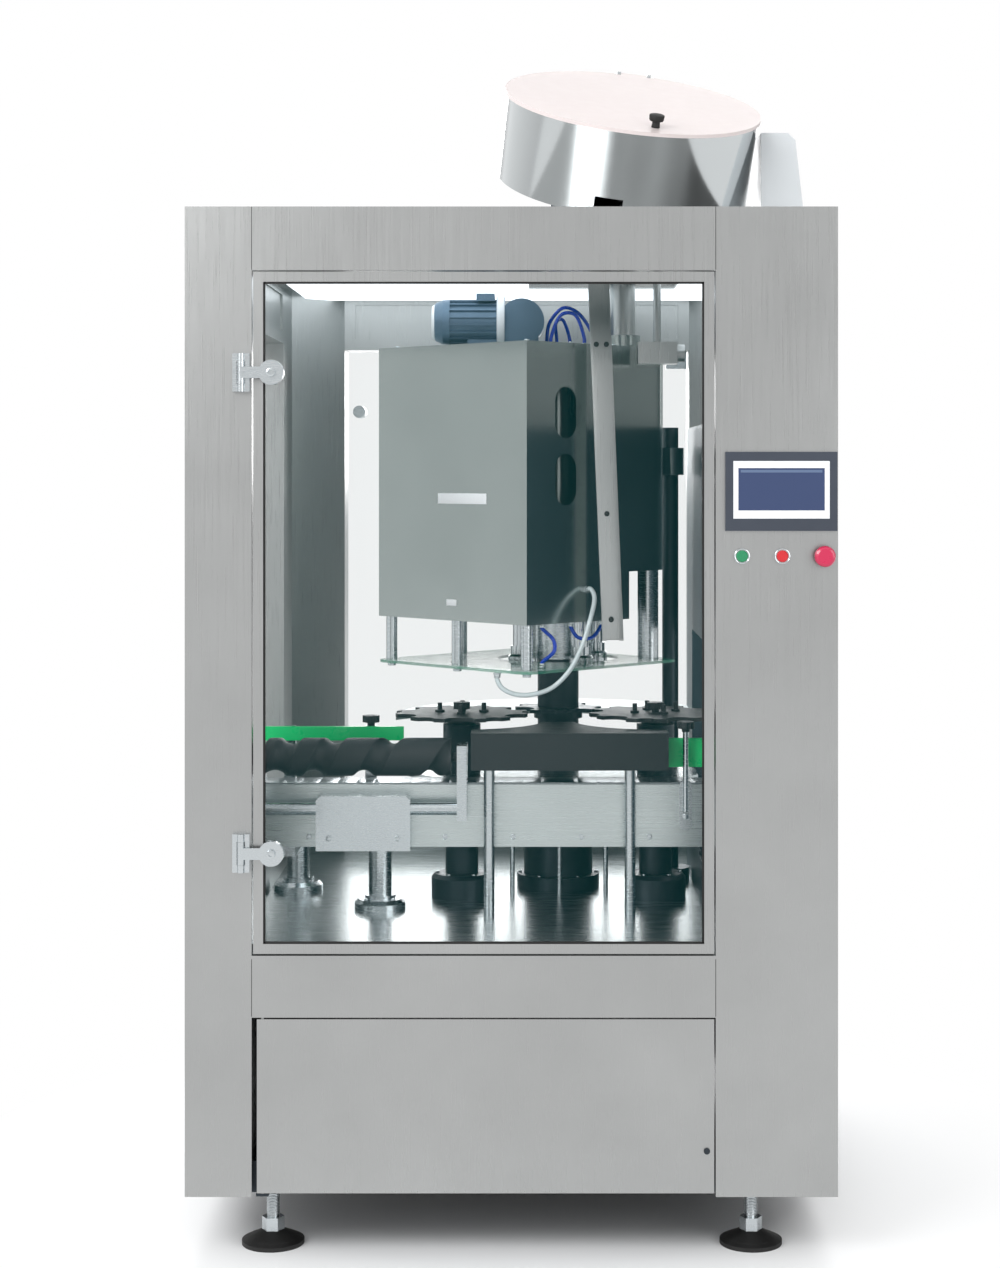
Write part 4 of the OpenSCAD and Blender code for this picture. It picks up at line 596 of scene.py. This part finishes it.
    def _feet(self, shaper: Shaper) -> None:
        """Models the threads of the feet and the ribs on their pads.

        Args:
            shaper: The modelling helper.
        """
        places = [(side * self.foot_x, y) for side in (-1, 1) for y in self.foot_y]
        low, pitch, radius, thick = self.thread
        for x, y in places:
            for k in range(self.thread_turns):
                shaper.ring((x, y, low + k * pitch), (0, 0, 1), radius, thick, Sides.THREAD)
        shaper.joined("foot_threads", "bright", "cabinet")
        low, pitch, radius, step = self.rib
        for x, y in places:
            for k in range(self.rib_count):
                shaper.ring((x, y, low + k * pitch), (0, 0, 1), radius - k * step, self.rib_thick, Sides.LARGE)
        shaper.joined("foot_ribs", "foot", "cabinet")


@dataclass
class Controls:
    """The screen's inner bezel and pale band and the rings of the buttons.

    Attributes:
        face: Y of the bezel's front.
        outer: Left, right, lower and upper edge of the inner bezel.
        inner: The same edges of its opening.
        bezel_t: Thickness of the inner bezel.
        band: Left, right, lower and upper edge of the screen's pale band.
        band_y: Back of the band behind the bezel's front, and its thickness.
        button_z: Height of the buttons.
        button_x: Sideways places of the buttons.
        ring_y: Y of the buttons' rings.
        ring: Radius and thickness of a button's ring.
    """

    face: float = -0.633
    outer: tuple[float, float, float, float] = (0.424, 0.608, 1.418, 1.528)
    inner: tuple[float, float, float, float] = (0.4335, 0.5985, 1.4335, 1.5145)
    bezel_t: float = 0.0008
    band: tuple[float, float, float, float] = (0.438, 0.594, 1.506, 1.511)
    band_y: tuple[float, float] = (0.0001, 0.0003)
    button_z: float = 1.346
    button_x: tuple[float, float, float] = (0.441, 0.518, 0.598)
    ring_y: float = -0.6302
    ring: tuple[float, float] = (0.0138, 0.0011)

    def build(self, shaper: Shaper) -> None:
        """Models the controls' fittings.

        Args:
            shaper: The modelling helper.
        """
        y0, y1 = self.face - self.bezel_t, self.face
        x0, x1, z0, z1 = self.outer
        sx0, sx1, sz0, sz1 = self.inner
        for low, high in (((x0, y0, z0), (sx0, y1, z1)), ((sx1, y0, z0), (x1, y1, z1)),
                          ((sx0, y0, z0), (sx1, y1, sz0)), ((sx0, y0, sz1), (sx1, y1, z1))):
            shaper.box(low, high)
        shaper.joined("inner_bezel", "inner_bezel", "cabinet")
        back, thick = self.band_y
        x0, x1, z0, z1 = self.band
        shaper.box((x0, self.face + back - thick, z0), (x1, self.face + back, z1))
        shaper.joined("screen_band", "screen_light", "cabinet")
        for x in self.button_x:
            shaper.ring((x, self.ring_y, self.button_z), (0, 1, 0), *self.ring, Sides.LARGE)
        shaper.joined("button_rings", "shaft", "cabinet")


@dataclass
class Conveyor:
    """Slats, bolts and flange screws of the conveyor and its legs.

    Attributes:
        line: Y of the bottle line.
        deck: Height of the chain's top.
        pitch: Distance between slats.
        reach: Length of the chain that carries slats.
        slat_gap: Half of the gap between two slats.
        slat_half: Half of a slat's width.
        slat_z: How far a slat reaches under and over the chain's top.
        slat_rim: Width of a slat's soft edges.
        bolt_row: X of the first side bolt, distance between two and their height.
        bolts: Number of side bolts in a row, and the radius of one.
        side: Distance of the side plates' outer faces from the line.
        legs: Places of the legs, with the radius of their screw circle and the height of their flange.
        pedestals: The same of the star pedestals.
        flange_screw: Radius of a flange screw.
        plate_bolts: X of the bolts on the screw's bracket plate.
        plate: Y of that plate's face, height of its bolts and their radius.
        strap_bolts: Heights of the bolts on the slotted strap.
        strap: X and Y of the strap's bolts and their radius.
    """

    line: float = -0.245
    deck: float = 0.866
    pitch: float = 0.0381
    reach: float = 1.12
    slat_gap: float = 0.0008
    slat_half: float = 0.0405
    slat_z: tuple[float, float] = (0.0002, 0.0008)
    slat_rim: float = 0.0004
    bolt_row: tuple[float, float, float] = (-0.56, 0.14, 0.757)
    bolts: tuple[int, float] = (9, 0.0055)
    side: float = 0.050
    legs: tuple[tuple[float, float, float, float], ...] = (
        (-0.277, -0.245, 0.0385, 0.622), (-0.469, -0.035, 0.0385, 0.622), (0.456, -0.035, 0.0385, 0.622))
    pedestals: tuple[tuple[float, float, float, float], ...] = (
        (-0.112, -0.101, 0.052, 0.650), (0.302, -0.101, 0.052, 0.650), (0.095, 0.0205, 0.083, 0.630))
    flange_screw: float = 0.0042
    plate_bolts: tuple[float, float] = (-0.375, -0.235)
    plate: tuple[float, float, float] = (-0.350, 0.762, 0.006)
    strap_bolts: tuple[float, float] = (0.800, 0.845)
    strap: tuple[float, float, float] = (0.354, -0.301, 0.0065)

    def build(self, shaper: Shaper) -> None:
        """Models the conveyor's fittings.

        Args:
            shaper: The modelling helper.
        """
        count = int(self.reach / self.pitch)
        y0, y1 = self.line - self.slat_half, self.line + self.slat_half
        z0, z1 = self.deck - self.slat_z[0], self.deck + self.slat_z[1]
        for k in range(count):
            x = (k - count / 2) * self.pitch
            shaper.box((x + self.slat_gap, y0, z0), (x + self.pitch - self.slat_gap, y1, z1), self.slat_rim)
        shaper.joined("chain_slats", "chain", "cabinet")
        first, step, height = self.bolt_row
        count, radius = self.bolts
        for side in (-1, 1):
            y = self.line + side * self.side
            for k in range(count):
                shaper.socket_screw((first + k * step, y, height), (0, side, 0), radius)
        shaper.joined("conveyor_bolts", "bright", "cabinet")
        self._flanges(shaper)
        y, z, radius = self.plate
        for x in self.plate_bolts:
            shaper.hex_head((x, y, z), (0, -1, 0), radius)
        x, y, radius = self.strap
        for z in self.strap_bolts:
            shaper.hex_head((x, y, z), (0, -1, 0), radius)
        shaper.joined("bracket_bolts", "bright", "cabinet")

    def _flanges(self, shaper: Shaper) -> None:
        """Sets the screw circles on the flanges of the legs and pedestals.

        Args:
            shaper: The modelling helper.
        """
        for places, count, start in ((self.legs, 4, 45), (self.pedestals, 6, 0)):
            for x, y, radius, z in places:
                for k in range(count):
                    turn = math.radians(start + 360 / count * k)
                    place = (x + radius * math.cos(turn), y + radius * math.sin(turn), z)
                    shaper.socket_screw(place, (0, 0, 1), self.flange_screw)
        shaper.joined("flange_screws", "bright", "cabinet")


@dataclass
class Head:
    """Fittings and hoses of the capping head, in its own axes turned by 45 degrees.

    Attributes:
        centre: The housing's centre.
        half: Half of the housing's side.
        top: Height of the housing's top.
        guard: Height of the guard plate's underside.
        guard_in: Distance of the standoffs from the housing's middle.
        motor: Y and height of the motor's axis.
        bell: X of the motor bell's ends, the radius at each and the width of its soft rims.
        flange: X of the motor flange's faces, its radius and the width of its soft rims.
        face_plates: Sideways place and height of the middle, width and height of each blank plate.
        plate_t: Thickness of a blank plate, and the width of its soft edges.
        top_u: Places of the top's screws along the head's first axis.
        top_v: Places of the same screws along its second axis.
        top_screw: Radius of one of them.
        guard_bolt: Radius of a bolt under a standoff.
        hose_radius: Radius of the clear hose and of its fittings.
        tube_radius: Radius of a blue tube and of its fittings.
        fitting: Length of a fitting's nut, of the whole fitting, and the width of its soft rims.
        fitting_form: Radius of the nut and of the sleeve, over the fitting's radius.
        white_route: Points of the clear hose in millimetres.
        blue_routes: Points of each blue tube in millimetres.
    """

    centre: tuple[float, float] = (0.028, -0.022)
    half: float = 0.2285
    top: float = 1.775
    guard: float = 1.094
    guard_in: float = 0.2085
    motor: tuple[float, float] = (-0.025, 1.832)
    bell: tuple[float, float, float, float, float] = (-0.1795, -0.141, 0.036, 0.0492, 0.004)
    flange: tuple[float, float, float, float] = (-0.0385, -0.0205, 0.0564, 0.002)
    face_plates: tuple[tuple[float, float, float, float], ...] = (
        (-0.108, 1.451, 0.148, 0.022), (-0.131, 1.232, 0.030, 0.013))
    plate_t: tuple[float, float] = (0.0008, 0.0003)
    top_u: tuple[float, ...] = (-0.2, -0.07, 0.06, 0.19)
    top_v: tuple[float, float] = (-0.2, 0.2)
    top_screw: float = 0.005
    guard_bolt: float = 0.009
    hose_radius: tuple[float, float] = (0.005, 0.0075)
    tube_radius: tuple[float, float] = (0.004, 0.0065)
    fitting: tuple[float, float, float] = (0.004, 0.010, 0.0004)
    fitting_form: tuple[float, float] = (1.1, 0.9)
    white_route: list[Point] = field(default_factory=lambda: [
        (-33, -295, 1094), (-33, -295, 1080), (-22, -298, 1062), (5, -300, 1050), (40, -302, 1050),
        (80, -302, 1064), (115, -300, 1098), (140, -296, 1145), (158, -284, 1200), (168, -258, 1242),
        (161.9, -235.3, 1262), (149.9, -223.3, 1262)])
    blue_routes: list[list[Point]] = field(default_factory=lambda: [
        [(60, -255, 1194), (60, -255, 1182), (82, -262, 1160), (84, -264, 1135), (60, -255, 1112),
         (60, -255, 1100)],
        [(120, -215, 1194), (120, -215, 1182), (135, -205, 1160), (165, -175, 1158), (185, -150, 1182),
         (185, -150, 1194)],
        [(150, -60, 1775), (150, -60, 1800), (132, -58, 1845), (100, -56, 1845), (80, -50, 1800),
         (80, -50, 1775)],
        [(170, -20, 1775), (170, -20, 1805), (140, -30, 1850), (105, -38, 1862), (76, -30, 1830),
         (70, -20, 1790), (70, -20, 1775)],
        [(120, 20, 1775), (120, 20, 1800), (106, 4, 1838), (90, 0, 1832), (92, 20, 1795), (92, 20, 1775)]])

    def at(self, u: float, v: float, z: float) -> Point:
        """Turns a place in the head's own axes into the row frame.

        Args:
            u: Place along the head's first axis.
            v: Place along its second axis.
            z: Height.

        Returns:
            The place in the row frame.
        """
        across = math.sqrt(0.5)
        return (self.centre[0] + (u - v) * across, self.centre[1] + (u + v) * across, z)

    def build(self, shaper: Shaper) -> None:
        """Models the head's fittings.

        Args:
            shaper: The modelling helper.
        """
        self._hoses(shaper)
        y, z = self.motor
        left, right, small, large, rim = self.bell
        shaper.rod((left, y, z), (right, y, z), small, Sides.LARGE, rim, large)
        left, right, radius, rim = self.flange
        shaper.rod((left, y, z), (right, y, z), radius, Sides.FLANGE, rim)
        shaper.joined("motor_bell", "white", "head")
        for plate in self.face_plates:
            self._face_plate(shaper, *plate)
        shaper.joined("face_plates", "inner_bezel", "head")
        notch = (self.top_u[-1], self.top_v[0])
        for u in self.top_u:
            for v in self.top_v:
                if (u, v) != notch:
                    shaper.socket_screw(self.at(u, v, self.top), (0, 0, 1), self.top_screw)
        shaper.joined("top_screws", "bright", "head")
        for u, v in ((-1, -1), (-1, 0), (-1, 1), (0, 1), (1, 1)):
            place = self.at(u * self.guard_in, v * self.guard_in, self.guard)
            shaper.hex_head(place, (0, 0, -1), self.guard_bolt)
        shaper.joined("standoff_bolts", "bright", "head")

    def _hoses(self, shaper: Shaper) -> None:
        """Models the hoses, which take the place of the plain CAD ones, and their fittings.

        Args:
            shaper: The modelling helper.
        """
        white = metres(self.white_route)
        blue = [metres(route) for route in self.blue_routes]
        shaper.tube(white, self.hose_radius[0])
        hose = shaper.joined("white_hose_smooth", "hose_clear", "head")
        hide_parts("white_hose")
        for route in blue:
            shaper.tube(route, self.tube_radius[0])
        tubes = shaper.joined("blue_hoses_smooth", "hose_blue", "head")
        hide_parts("blue_hoses")
        nut, whole, rim = self.fitting
        wide, narrow = self.fitting_form
        for route, radius in [(white, self.hose_radius[1])] + [(route, self.tube_radius[1]) for route in blue]:
            for end, near in ((route[0], route[1]), (route[-1], route[-2])):
                a = Vector(end)
                n = (Vector(near) - a).normalized()
                shaper.rod(a, a + n * nut, radius * wide, Sides.HEXAGON, rim)
                shaper.rod(a + n * nut, a + n * whole, radius * narrow, Sides.SMALL, rim)
        shaper.joined("hose_fittings", "bright", "head")

    def _face_plate(self, shaper: Shaper, x: float, z: float, wide: float, high: float) -> None:
        """Adds a blank plate to the housing's front left face.

        Args:
            shaper: The modelling helper.
            x: Sideways place of its middle in the row frame.
            z: Height of its middle.
            wide: Width along the face.
            high: Height.
        """
        thick, rim = self.plate_t
        plate = shaper.box((-self.half - thick, -wide / 2, z - high / 2),
                           (-self.half, wide / 2, z + high / 2), rim)
        across = math.sqrt(0.5)
        along = (self.centre[0] - self.half * across - x) / across
        for vertex in plate.data.vertices:
            vertex.co = self.at(vertex.co.x, vertex.co.y + along, vertex.co.z)


@dataclass
class Screw:
    """The timing screw with a smooth helical groove whose pitch grows along its length.

    Attributes:
        start: X of the infeed end.
        length: Length of the body.
        axis: Y and Z of the axis.
        radius: Outside radius.
        bottle: Radius of the bottles.
        offset: Distance from the axis to the bottle line.
        pitch: Pitch at the infeed end and at the end of the groove.
        tail: Share of the length where the pitch still grows.
        journal: Length and radius of the shaft end at each side, and the width of its soft rims.
        steps: Steps of the grid along the screw and round it.
        merge: Distance under which two points of the grid become one.
    """

    start: float = -0.506
    length: float = 0.379
    axis: tuple[float, float] = (-0.302, 0.922)
    radius: float = 0.039
    bottle: float = 0.030
    offset: float = 0.057
    pitch: tuple[float, float] = (0.064, 0.1507964)
    tail: float = 0.86
    journal: tuple[float, float, float] = (0.023, 0.010, 0.0006)
    steps: tuple[int, int] = (260, 120)
    merge: float = 1e-5

    def groove(self, share: float, turn: float) -> float:
        """Gives the radius left by the bottles' path.

        Args:
            share: Share of the length.
            turn: Angle round the axis in turns.

        Returns:
            The radius at that place.
        """
        grow = self.pitch[1] - self.pitch[0]
        at = self.pitch[0] + grow * min(share / self.tail, 1.0)
        turns = self.length * self.tail / grow * math.log(at / self.pitch[0]) + turn
        off = (turns - math.floor(turns + 0.5)) * at + max(share - self.tail, 0.0) * self.length
        left = self.bottle ** 2 - off ** 2
        return min(self.radius, self.offset - math.sqrt(left)) if left > 0 else self.radius

    def build(self, shaper: Shaper) -> None:
        """Models the screw as a grid that is rolled round the axis.

        Args:
            shaper: The modelling helper.
        """
        bpy.ops.object.select_all(action="DESELECT")
        bpy.ops.mesh.primitive_grid_add(x_subdivisions=self.steps[0], y_subdivisions=self.steps[1], size=1.0)
        body = bpy.context.active_object
        for vertex in body.data.vertices:
            share, turn = vertex.co.x + 0.5, vertex.co.y + 0.5
            r = self.groove(share, turn)
            angle = 2 * math.pi * turn
            vertex.co = (self.start + share * self.length, self.axis[0] + r * math.cos(angle),
                         self.axis[1] + r * math.sin(angle))
        bpy.ops.object.mode_set(mode="EDIT")
        bpy.ops.mesh.select_all(action="SELECT")
        bpy.ops.mesh.remove_doubles(threshold=self.merge)
        bpy.ops.mesh.select_all(action="DESELECT")
        bpy.ops.mesh.select_mode(type="EDGE")
        bpy.ops.mesh.select_non_manifold()
        bpy.ops.mesh.fill_holes(sides=0)
        bpy.ops.mesh.select_all(action="SELECT")
        bpy.ops.mesh.normals_make_consistent(inside=False)
        bpy.ops.object.mode_set(mode="OBJECT")
        shaper.parts.append(body)
        y, z = self.axis
        length, radius, rim = self.journal
        shaper.rod((self.start - length, y, z), (self.start, y, z), radius, Sides.LARGE, rim)
        end = self.start + self.length
        shaper.rod((end, y, z), (end + length, y, z), radius, Sides.LARGE, rim)
        whole = shaper.joined("timing_screw_smooth", "black_plastic", "timing_screw")
        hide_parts("timing_screw")


@dataclass
class Roof:
    """Fittings of the cap sorter and its chute.

    Attributes:
        bowl: Middle of the bowl's rim.
        tilt: Tilt of the bowl to the front in degrees.
        roll: Tilt of the bowl to the right in degrees.
        knob: Place of the lid's post on the lid, from the bowl's middle.
        post: Height of the lid's post, its radius below and above and the width of its soft rims.
        grip: Lower and upper end of the knob over the lid, its radius there and the same width.
        bolt_x: X of the bolts on the bracket's foot plate.
        bolt_y: Y of the same bolts.
        bolt_z: Height of the foot plate's top.
        bolt_radius: Radius of one of these bolts.
        cover_y: Back and front of the chute's cover.
        cover_z: Lower and upper end of the cover.
        cover_half: Half of the cover's width.
        cover_rim: Width of the cover's soft edges.
        chute_x: X of the chute's foot.
        chute_z: Height of the chute's foot.
        slant: Rise of the chute and its sideways run to the left over that rise.
        screws: X and height of the cover's screws.
        screw_head: Height, radius and width of the soft rims of the head of such a screw.
    """

    bowl: Point = (0.258, -0.025, 2.312)
    tilt: float = 21.5
    roll: float = 7.0
    knob: Point = (0.048, -0.225, 0.0)
    post: tuple[float, float, float, float] = (0.014, 0.0090, 0.0080, 0.001)
    grip: tuple[float, float, float, float, float] = (0.0135, 0.0275, 0.0150, 0.0165, 0.003)
    bolt_x: tuple[float, float] = (0.09, 0.39)
    bolt_y: tuple[float, float, float] = (-0.14, 0.05, 0.19)
    bolt_z: float = 2.023
    bolt_radius: float = 0.008
    cover_y: tuple[float, float] = (-0.2462, -0.2451)
    cover_z: tuple[float, float] = (1.160, 1.900)
    cover_half: float = 0.0215
    cover_rim: float = 0.0003
    chute_x: float = 0.207
    chute_z: float = 1.156
    slant: tuple[float, float] = (0.766, 0.031)
    screws: tuple[tuple[float, float], ...] = ((0.172, 1.772), (0.193, 1.772), (0.194, 1.420), (0.203, 1.20))
    screw_head: tuple[float, float, float] = (0.004, 0.0055, 0.0005)

    def build(self, shaper: Shaper) -> None:
        """Models the roof's fittings.

        Args:
            shaper: The modelling helper.
        """
        self._lid_knob(shaper)
        self._chute_cover(shaper)
        for x in self.bolt_x:
            for y in self.bolt_y:
                shaper.hex_head((x, y, self.bolt_z), (0, 0, 1), self.bolt_radius)
        shaper.joined("roof_bolts", "bright", "cabinet")

    def _lid_knob(self, shaper: Shaper) -> None:
        """Adds the black knob over the lid's post.

        Args:
            shaper: The modelling helper.
        """
        roll, tilt = math.radians(self.roll), math.radians(self.tilt)
        turn = Matrix.Rotation(roll, 3, "Y") @ Matrix.Rotation(tilt, 3, "X")
        base = Vector(self.bowl) + turn @ Vector(self.knob)
        up = turn @ Vector((0, 0, 1))
        height, below, above, rim = self.post
        shaper.rod(base, base + up * height, below, Sides.KNOB, rim, above)
        low, high, below, above, rim = self.grip
        shaper.rod(base + up * low, base + up * high, below, Sides.KNOB, rim, above)
        shaper.joined("lid_knob", "foot", "sorter_lid")

    def _chute_cover(self, shaper: Shaper) -> None:
        """Adds the chute's front cover, which follows its slant, and its screws.

        Args:
            shaper: The modelling helper.
        """
        y0, y1 = self.cover_y
        low, high = self.cover_z
        rise, run = self.slant
        x0, x1 = self.chute_x - self.cover_half, self.chute_x + self.cover_half
        cover = shaper.box((x0, y0, low), (x1, y1, high), self.cover_rim)
        for vertex in cover.data.vertices:
            vertex.co.x -= (vertex.co.z - self.chute_z) / rise * run
        shaper.joined("chute_cover", "steel", "cabinet")
        height, radius, rim = self.screw_head
        for x, z in self.screws:
            shaper.rod((x, y0, z), (x, y0 - height, z), radius, Sides.SMALL, rim)
        shaper.joined("chute_screws", "foot", "cabinet")


@dataclass
class Studio:
    """Floor, room, lamps and camera.

    Attributes:
        eye: Place of the camera.
        lens: Focal length in millimetres.
        shift: Sideways and upward shift of the lens.
        target_z: Height that the lamps point at.
        lamps: Name, place, side of the square and power of each lamp.
        floor_size: Side of the floor.
        floor_paint: Colour and roughness of the floor.
        fade: Distance from the middle where the floor starts to fade to white, and where it is white.
        side_stops: Brightness of the room from its left side to its right side, as reflections show it.
        height_stops: Brightness of the room from below to above.
    """

    eye: Point = (0.051, -5.025, 1.510)
    lens: float = 65.3
    shift: tuple[float, float] = (-0.030, -0.129)
    target_z: float = 1.1
    lamps: tuple[tuple[str, Point, float, float], ...] = (
        ("key", (-2.6, -3.4, 3.4), 2.2, 130.0), ("fill", (3.0, -3.0, 2.2), 2.5, 60.0),
        ("back", (0.0, 3.2, 2.6), 2.5, 90.0))
    floor_size: float = 40.0
    floor_paint: tuple[Point, float] = ((0.86, 0.87, 0.88), 0.45)
    fade: tuple[float, float] = (0.65, 1.25)
    side_stops: tuple[tuple[float, float], ...] = (
        (0.0, 0.95), (0.22, 1.15), (0.34, 0.45), (0.44, 0.95), (0.56, 0.75), (0.68, 0.95), (0.80, 0.22),
        (0.92, 0.10), (1.0, 0.30))
    height_stops: tuple[tuple[float, float], ...] = (
        (0.0, 0.55), (0.40, 0.62), (0.50, 0.85), (0.60, 1.0), (0.80, 1.15), (1.0, 1.3))

    def build(self) -> None:
        """Sets the stage."""
        bpy.ops.object.select_all(action="DESELECT")
        bpy.ops.mesh.primitive_plane_add(size=self.floor_size, location=(0, 0, 0))
        floor = bpy.context.active_object
        floor.name = "floor"
        paint = bpy.data.materials.new("floor_paint")
        paint.use_nodes = True
        shader = paint.node_tree.nodes["Principled BSDF"]
        color, rough = self.floor_paint
        shader.inputs["Base Color"].default_value = (*color, 1.0)
        shader.inputs["Roughness"].default_value = rough
        self._fade(paint.node_tree)
        floor.data.materials.append(paint)
        world = bpy.data.worlds.new("studio")
        world.use_nodes = True
        self._sky(world.node_tree)
        bpy.context.scene.world = world
        for lamp in self.lamps:
            self._lamp(*lamp)
        data = bpy.data.cameras.new("camera")
        data.lens = self.lens
        data.shift_x, data.shift_y = self.shift
        camera = bpy.data.objects.new("camera", data)
        camera.location = self.eye
        camera.rotation_euler = (math.radians(90), 0, 0)
        bpy.context.scene.collection.objects.link(camera)
        bpy.context.scene.camera = camera
        bpy.context.scene.view_settings.view_transform = "Standard"

    def _fade(self, tree: bpy.types.NodeTree) -> None:
        """Fades the floor to plain white away from the machine, so that only the soft shadow shows.

        Args:
            tree: The floor's node tree.
        """
        nodes, links = tree.nodes, tree.links
        length, reach = nodes.new("ShaderNodeVectorMath"), nodes.new("ShaderNodeMapRange")
        glow, mix = nodes.new("ShaderNodeEmission"), nodes.new("ShaderNodeMixShader")
        length.operation = "LENGTH"
        reach.inputs["From Min"].default_value, reach.inputs["From Max"].default_value = self.fade
        glow.inputs["Color"].default_value = (1.0, 1.0, 1.0, 1.0)
        links.new(nodes.new("ShaderNodeTexCoord").outputs["Object"], length.inputs[0])
        links.new(length.outputs["Value"], reach.inputs["Value"])
        links.new(reach.outputs["Result"], mix.inputs["Fac"])
        links.new(nodes["Principled BSDF"].outputs["BSDF"], mix.inputs[1])
        links.new(glow.outputs["Emission"], mix.inputs[2])
        links.new(mix.outputs["Shader"], nodes["Material Output"].inputs["Surface"])

    def _sky(self, tree: bpy.types.NodeTree) -> None:
        """Makes the room: white where the camera looks, a lit left side and a dark right side in reflections.

        Args:
            tree: The world's node tree.
        """
        nodes, links = tree.nodes, tree.links
        paths, split = nodes.new("ShaderNodeLightPath"), nodes.new("ShaderNodeSeparateXYZ")
        side, height = nodes.new("ShaderNodeValToRGB"), nodes.new("ShaderNodeValToRGB")
        blend, mix = nodes.new("ShaderNodeMix"), nodes.new("ShaderNodeMix")
        across, up = nodes.new("ShaderNodeMapRange"), nodes.new("ShaderNodeMapRange")
        for node in (across, up):
            node.inputs["From Min"].default_value = -1.0
        self._stops(side.color_ramp, self.side_stops)
        self._stops(height.color_ramp, self.height_stops)
        for node in (blend, mix):
            node.data_type = "RGBA"
        blend.blend_type = "MULTIPLY"
        blend.inputs["Factor"].default_value = 1.0
        mix.inputs["B"].default_value = (1.0, 1.0, 1.0, 1.0)
        links.new(nodes.new("ShaderNodeTexCoord").outputs["Generated"], split.inputs["Vector"])
        links.new(split.outputs["X"], across.inputs["Value"])
        links.new(split.outputs["Z"], up.inputs["Value"])
        links.new(across.outputs["Result"], side.inputs["Fac"])
        links.new(up.outputs["Result"], height.inputs["Fac"])
        links.new(side.outputs["Color"], blend.inputs["A"])
        links.new(height.outputs["Color"], blend.inputs["B"])
        links.new(blend.outputs["Result"], mix.inputs["A"])
        links.new(paths.outputs["Is Camera Ray"], mix.inputs["Factor"])
        links.new(mix.outputs["Result"], nodes["Background"].inputs["Color"])

    @staticmethod
    def _stops(ramp: bpy.types.ColorRamp, stops: tuple[tuple[float, float], ...]) -> None:
        """Fills a ramp with grey stops.

        Args:
            ramp: The ramp.
            stops: Place and value of each stop, in rising order.
        """
        ramp.elements[0].position, ramp.elements[1].position = stops[0][0], stops[-1][0]
        for element, value in ((ramp.elements[0], stops[0][1]), (ramp.elements[1], stops[-1][1])):
            element.color = (value, value, value, 1.0)
        for place, value in stops[1:-1]:
            ramp.elements.new(place).color = (value, value, value, 1.0)

    def _lamp(self, name: str, place: Point, size: float, power: float) -> None:
        """Adds a soft lamp that points to the machine.

        Args:
            name: Name of the lamp.
            place: Where it hangs.
            size: Side of its square.
            power: Its power in watts.
        """
        data = bpy.data.lights.new(name, "AREA")
        data.size = size
        data.energy = power
        lamp = bpy.data.objects.new(name, data)
        lamp.location = place
        aim = Vector((0, 0, self.target_z)) - Vector(place)
        lamp.rotation_euler = aim.to_track_quat("-Z", "Y").to_euler()
        bpy.context.scene.collection.objects.link(lamp)


NODE_FINISH: dict[str, str] = {
    "table_plate": "table", "transfer_plate": "table", "estop_button": "magenta_red", "stop_button": "red",
    "main_column": "dark_metal", "sorter_disc": "shaft", "turret": "bright", "head_motor": "blue_motor",
    "head_housing": "housing", "sorter_bowl": "polished", "conveyor_frame": "frame_steel",
    "controller_box": "box_grey",
}


def dress(frame: dict, shop: FinishShop) -> None:
    """Gives every CAD node its finish.

    Args:
        shop: Source of the materials.
    """
    slots = {s["node"]: s["material_slot"] for s in frame["record"]["subparts"]}
    for name, node in frame["nodes"].items():
        key = NODE_FINISH.get(name, slots.get(name, "steel"))
        node.data.materials.clear()
        node.data.materials.append(shop.get(key))


def main() -> None:
    """Builds the whole scene."""
    logging.basicConfig(level=logging.INFO)
    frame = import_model()
    shop = FinishShop()
    dress(frame, shop)
    shaper = Shaper(shop)
    for group in (Cabinet(), Controls(), Conveyor(), Head(), Screw(), Roof()):
        group.build(shaper)
        LOG.info("built %s", type(group).__name__)
    Studio().build()


if __name__ == "__main__":
    main()
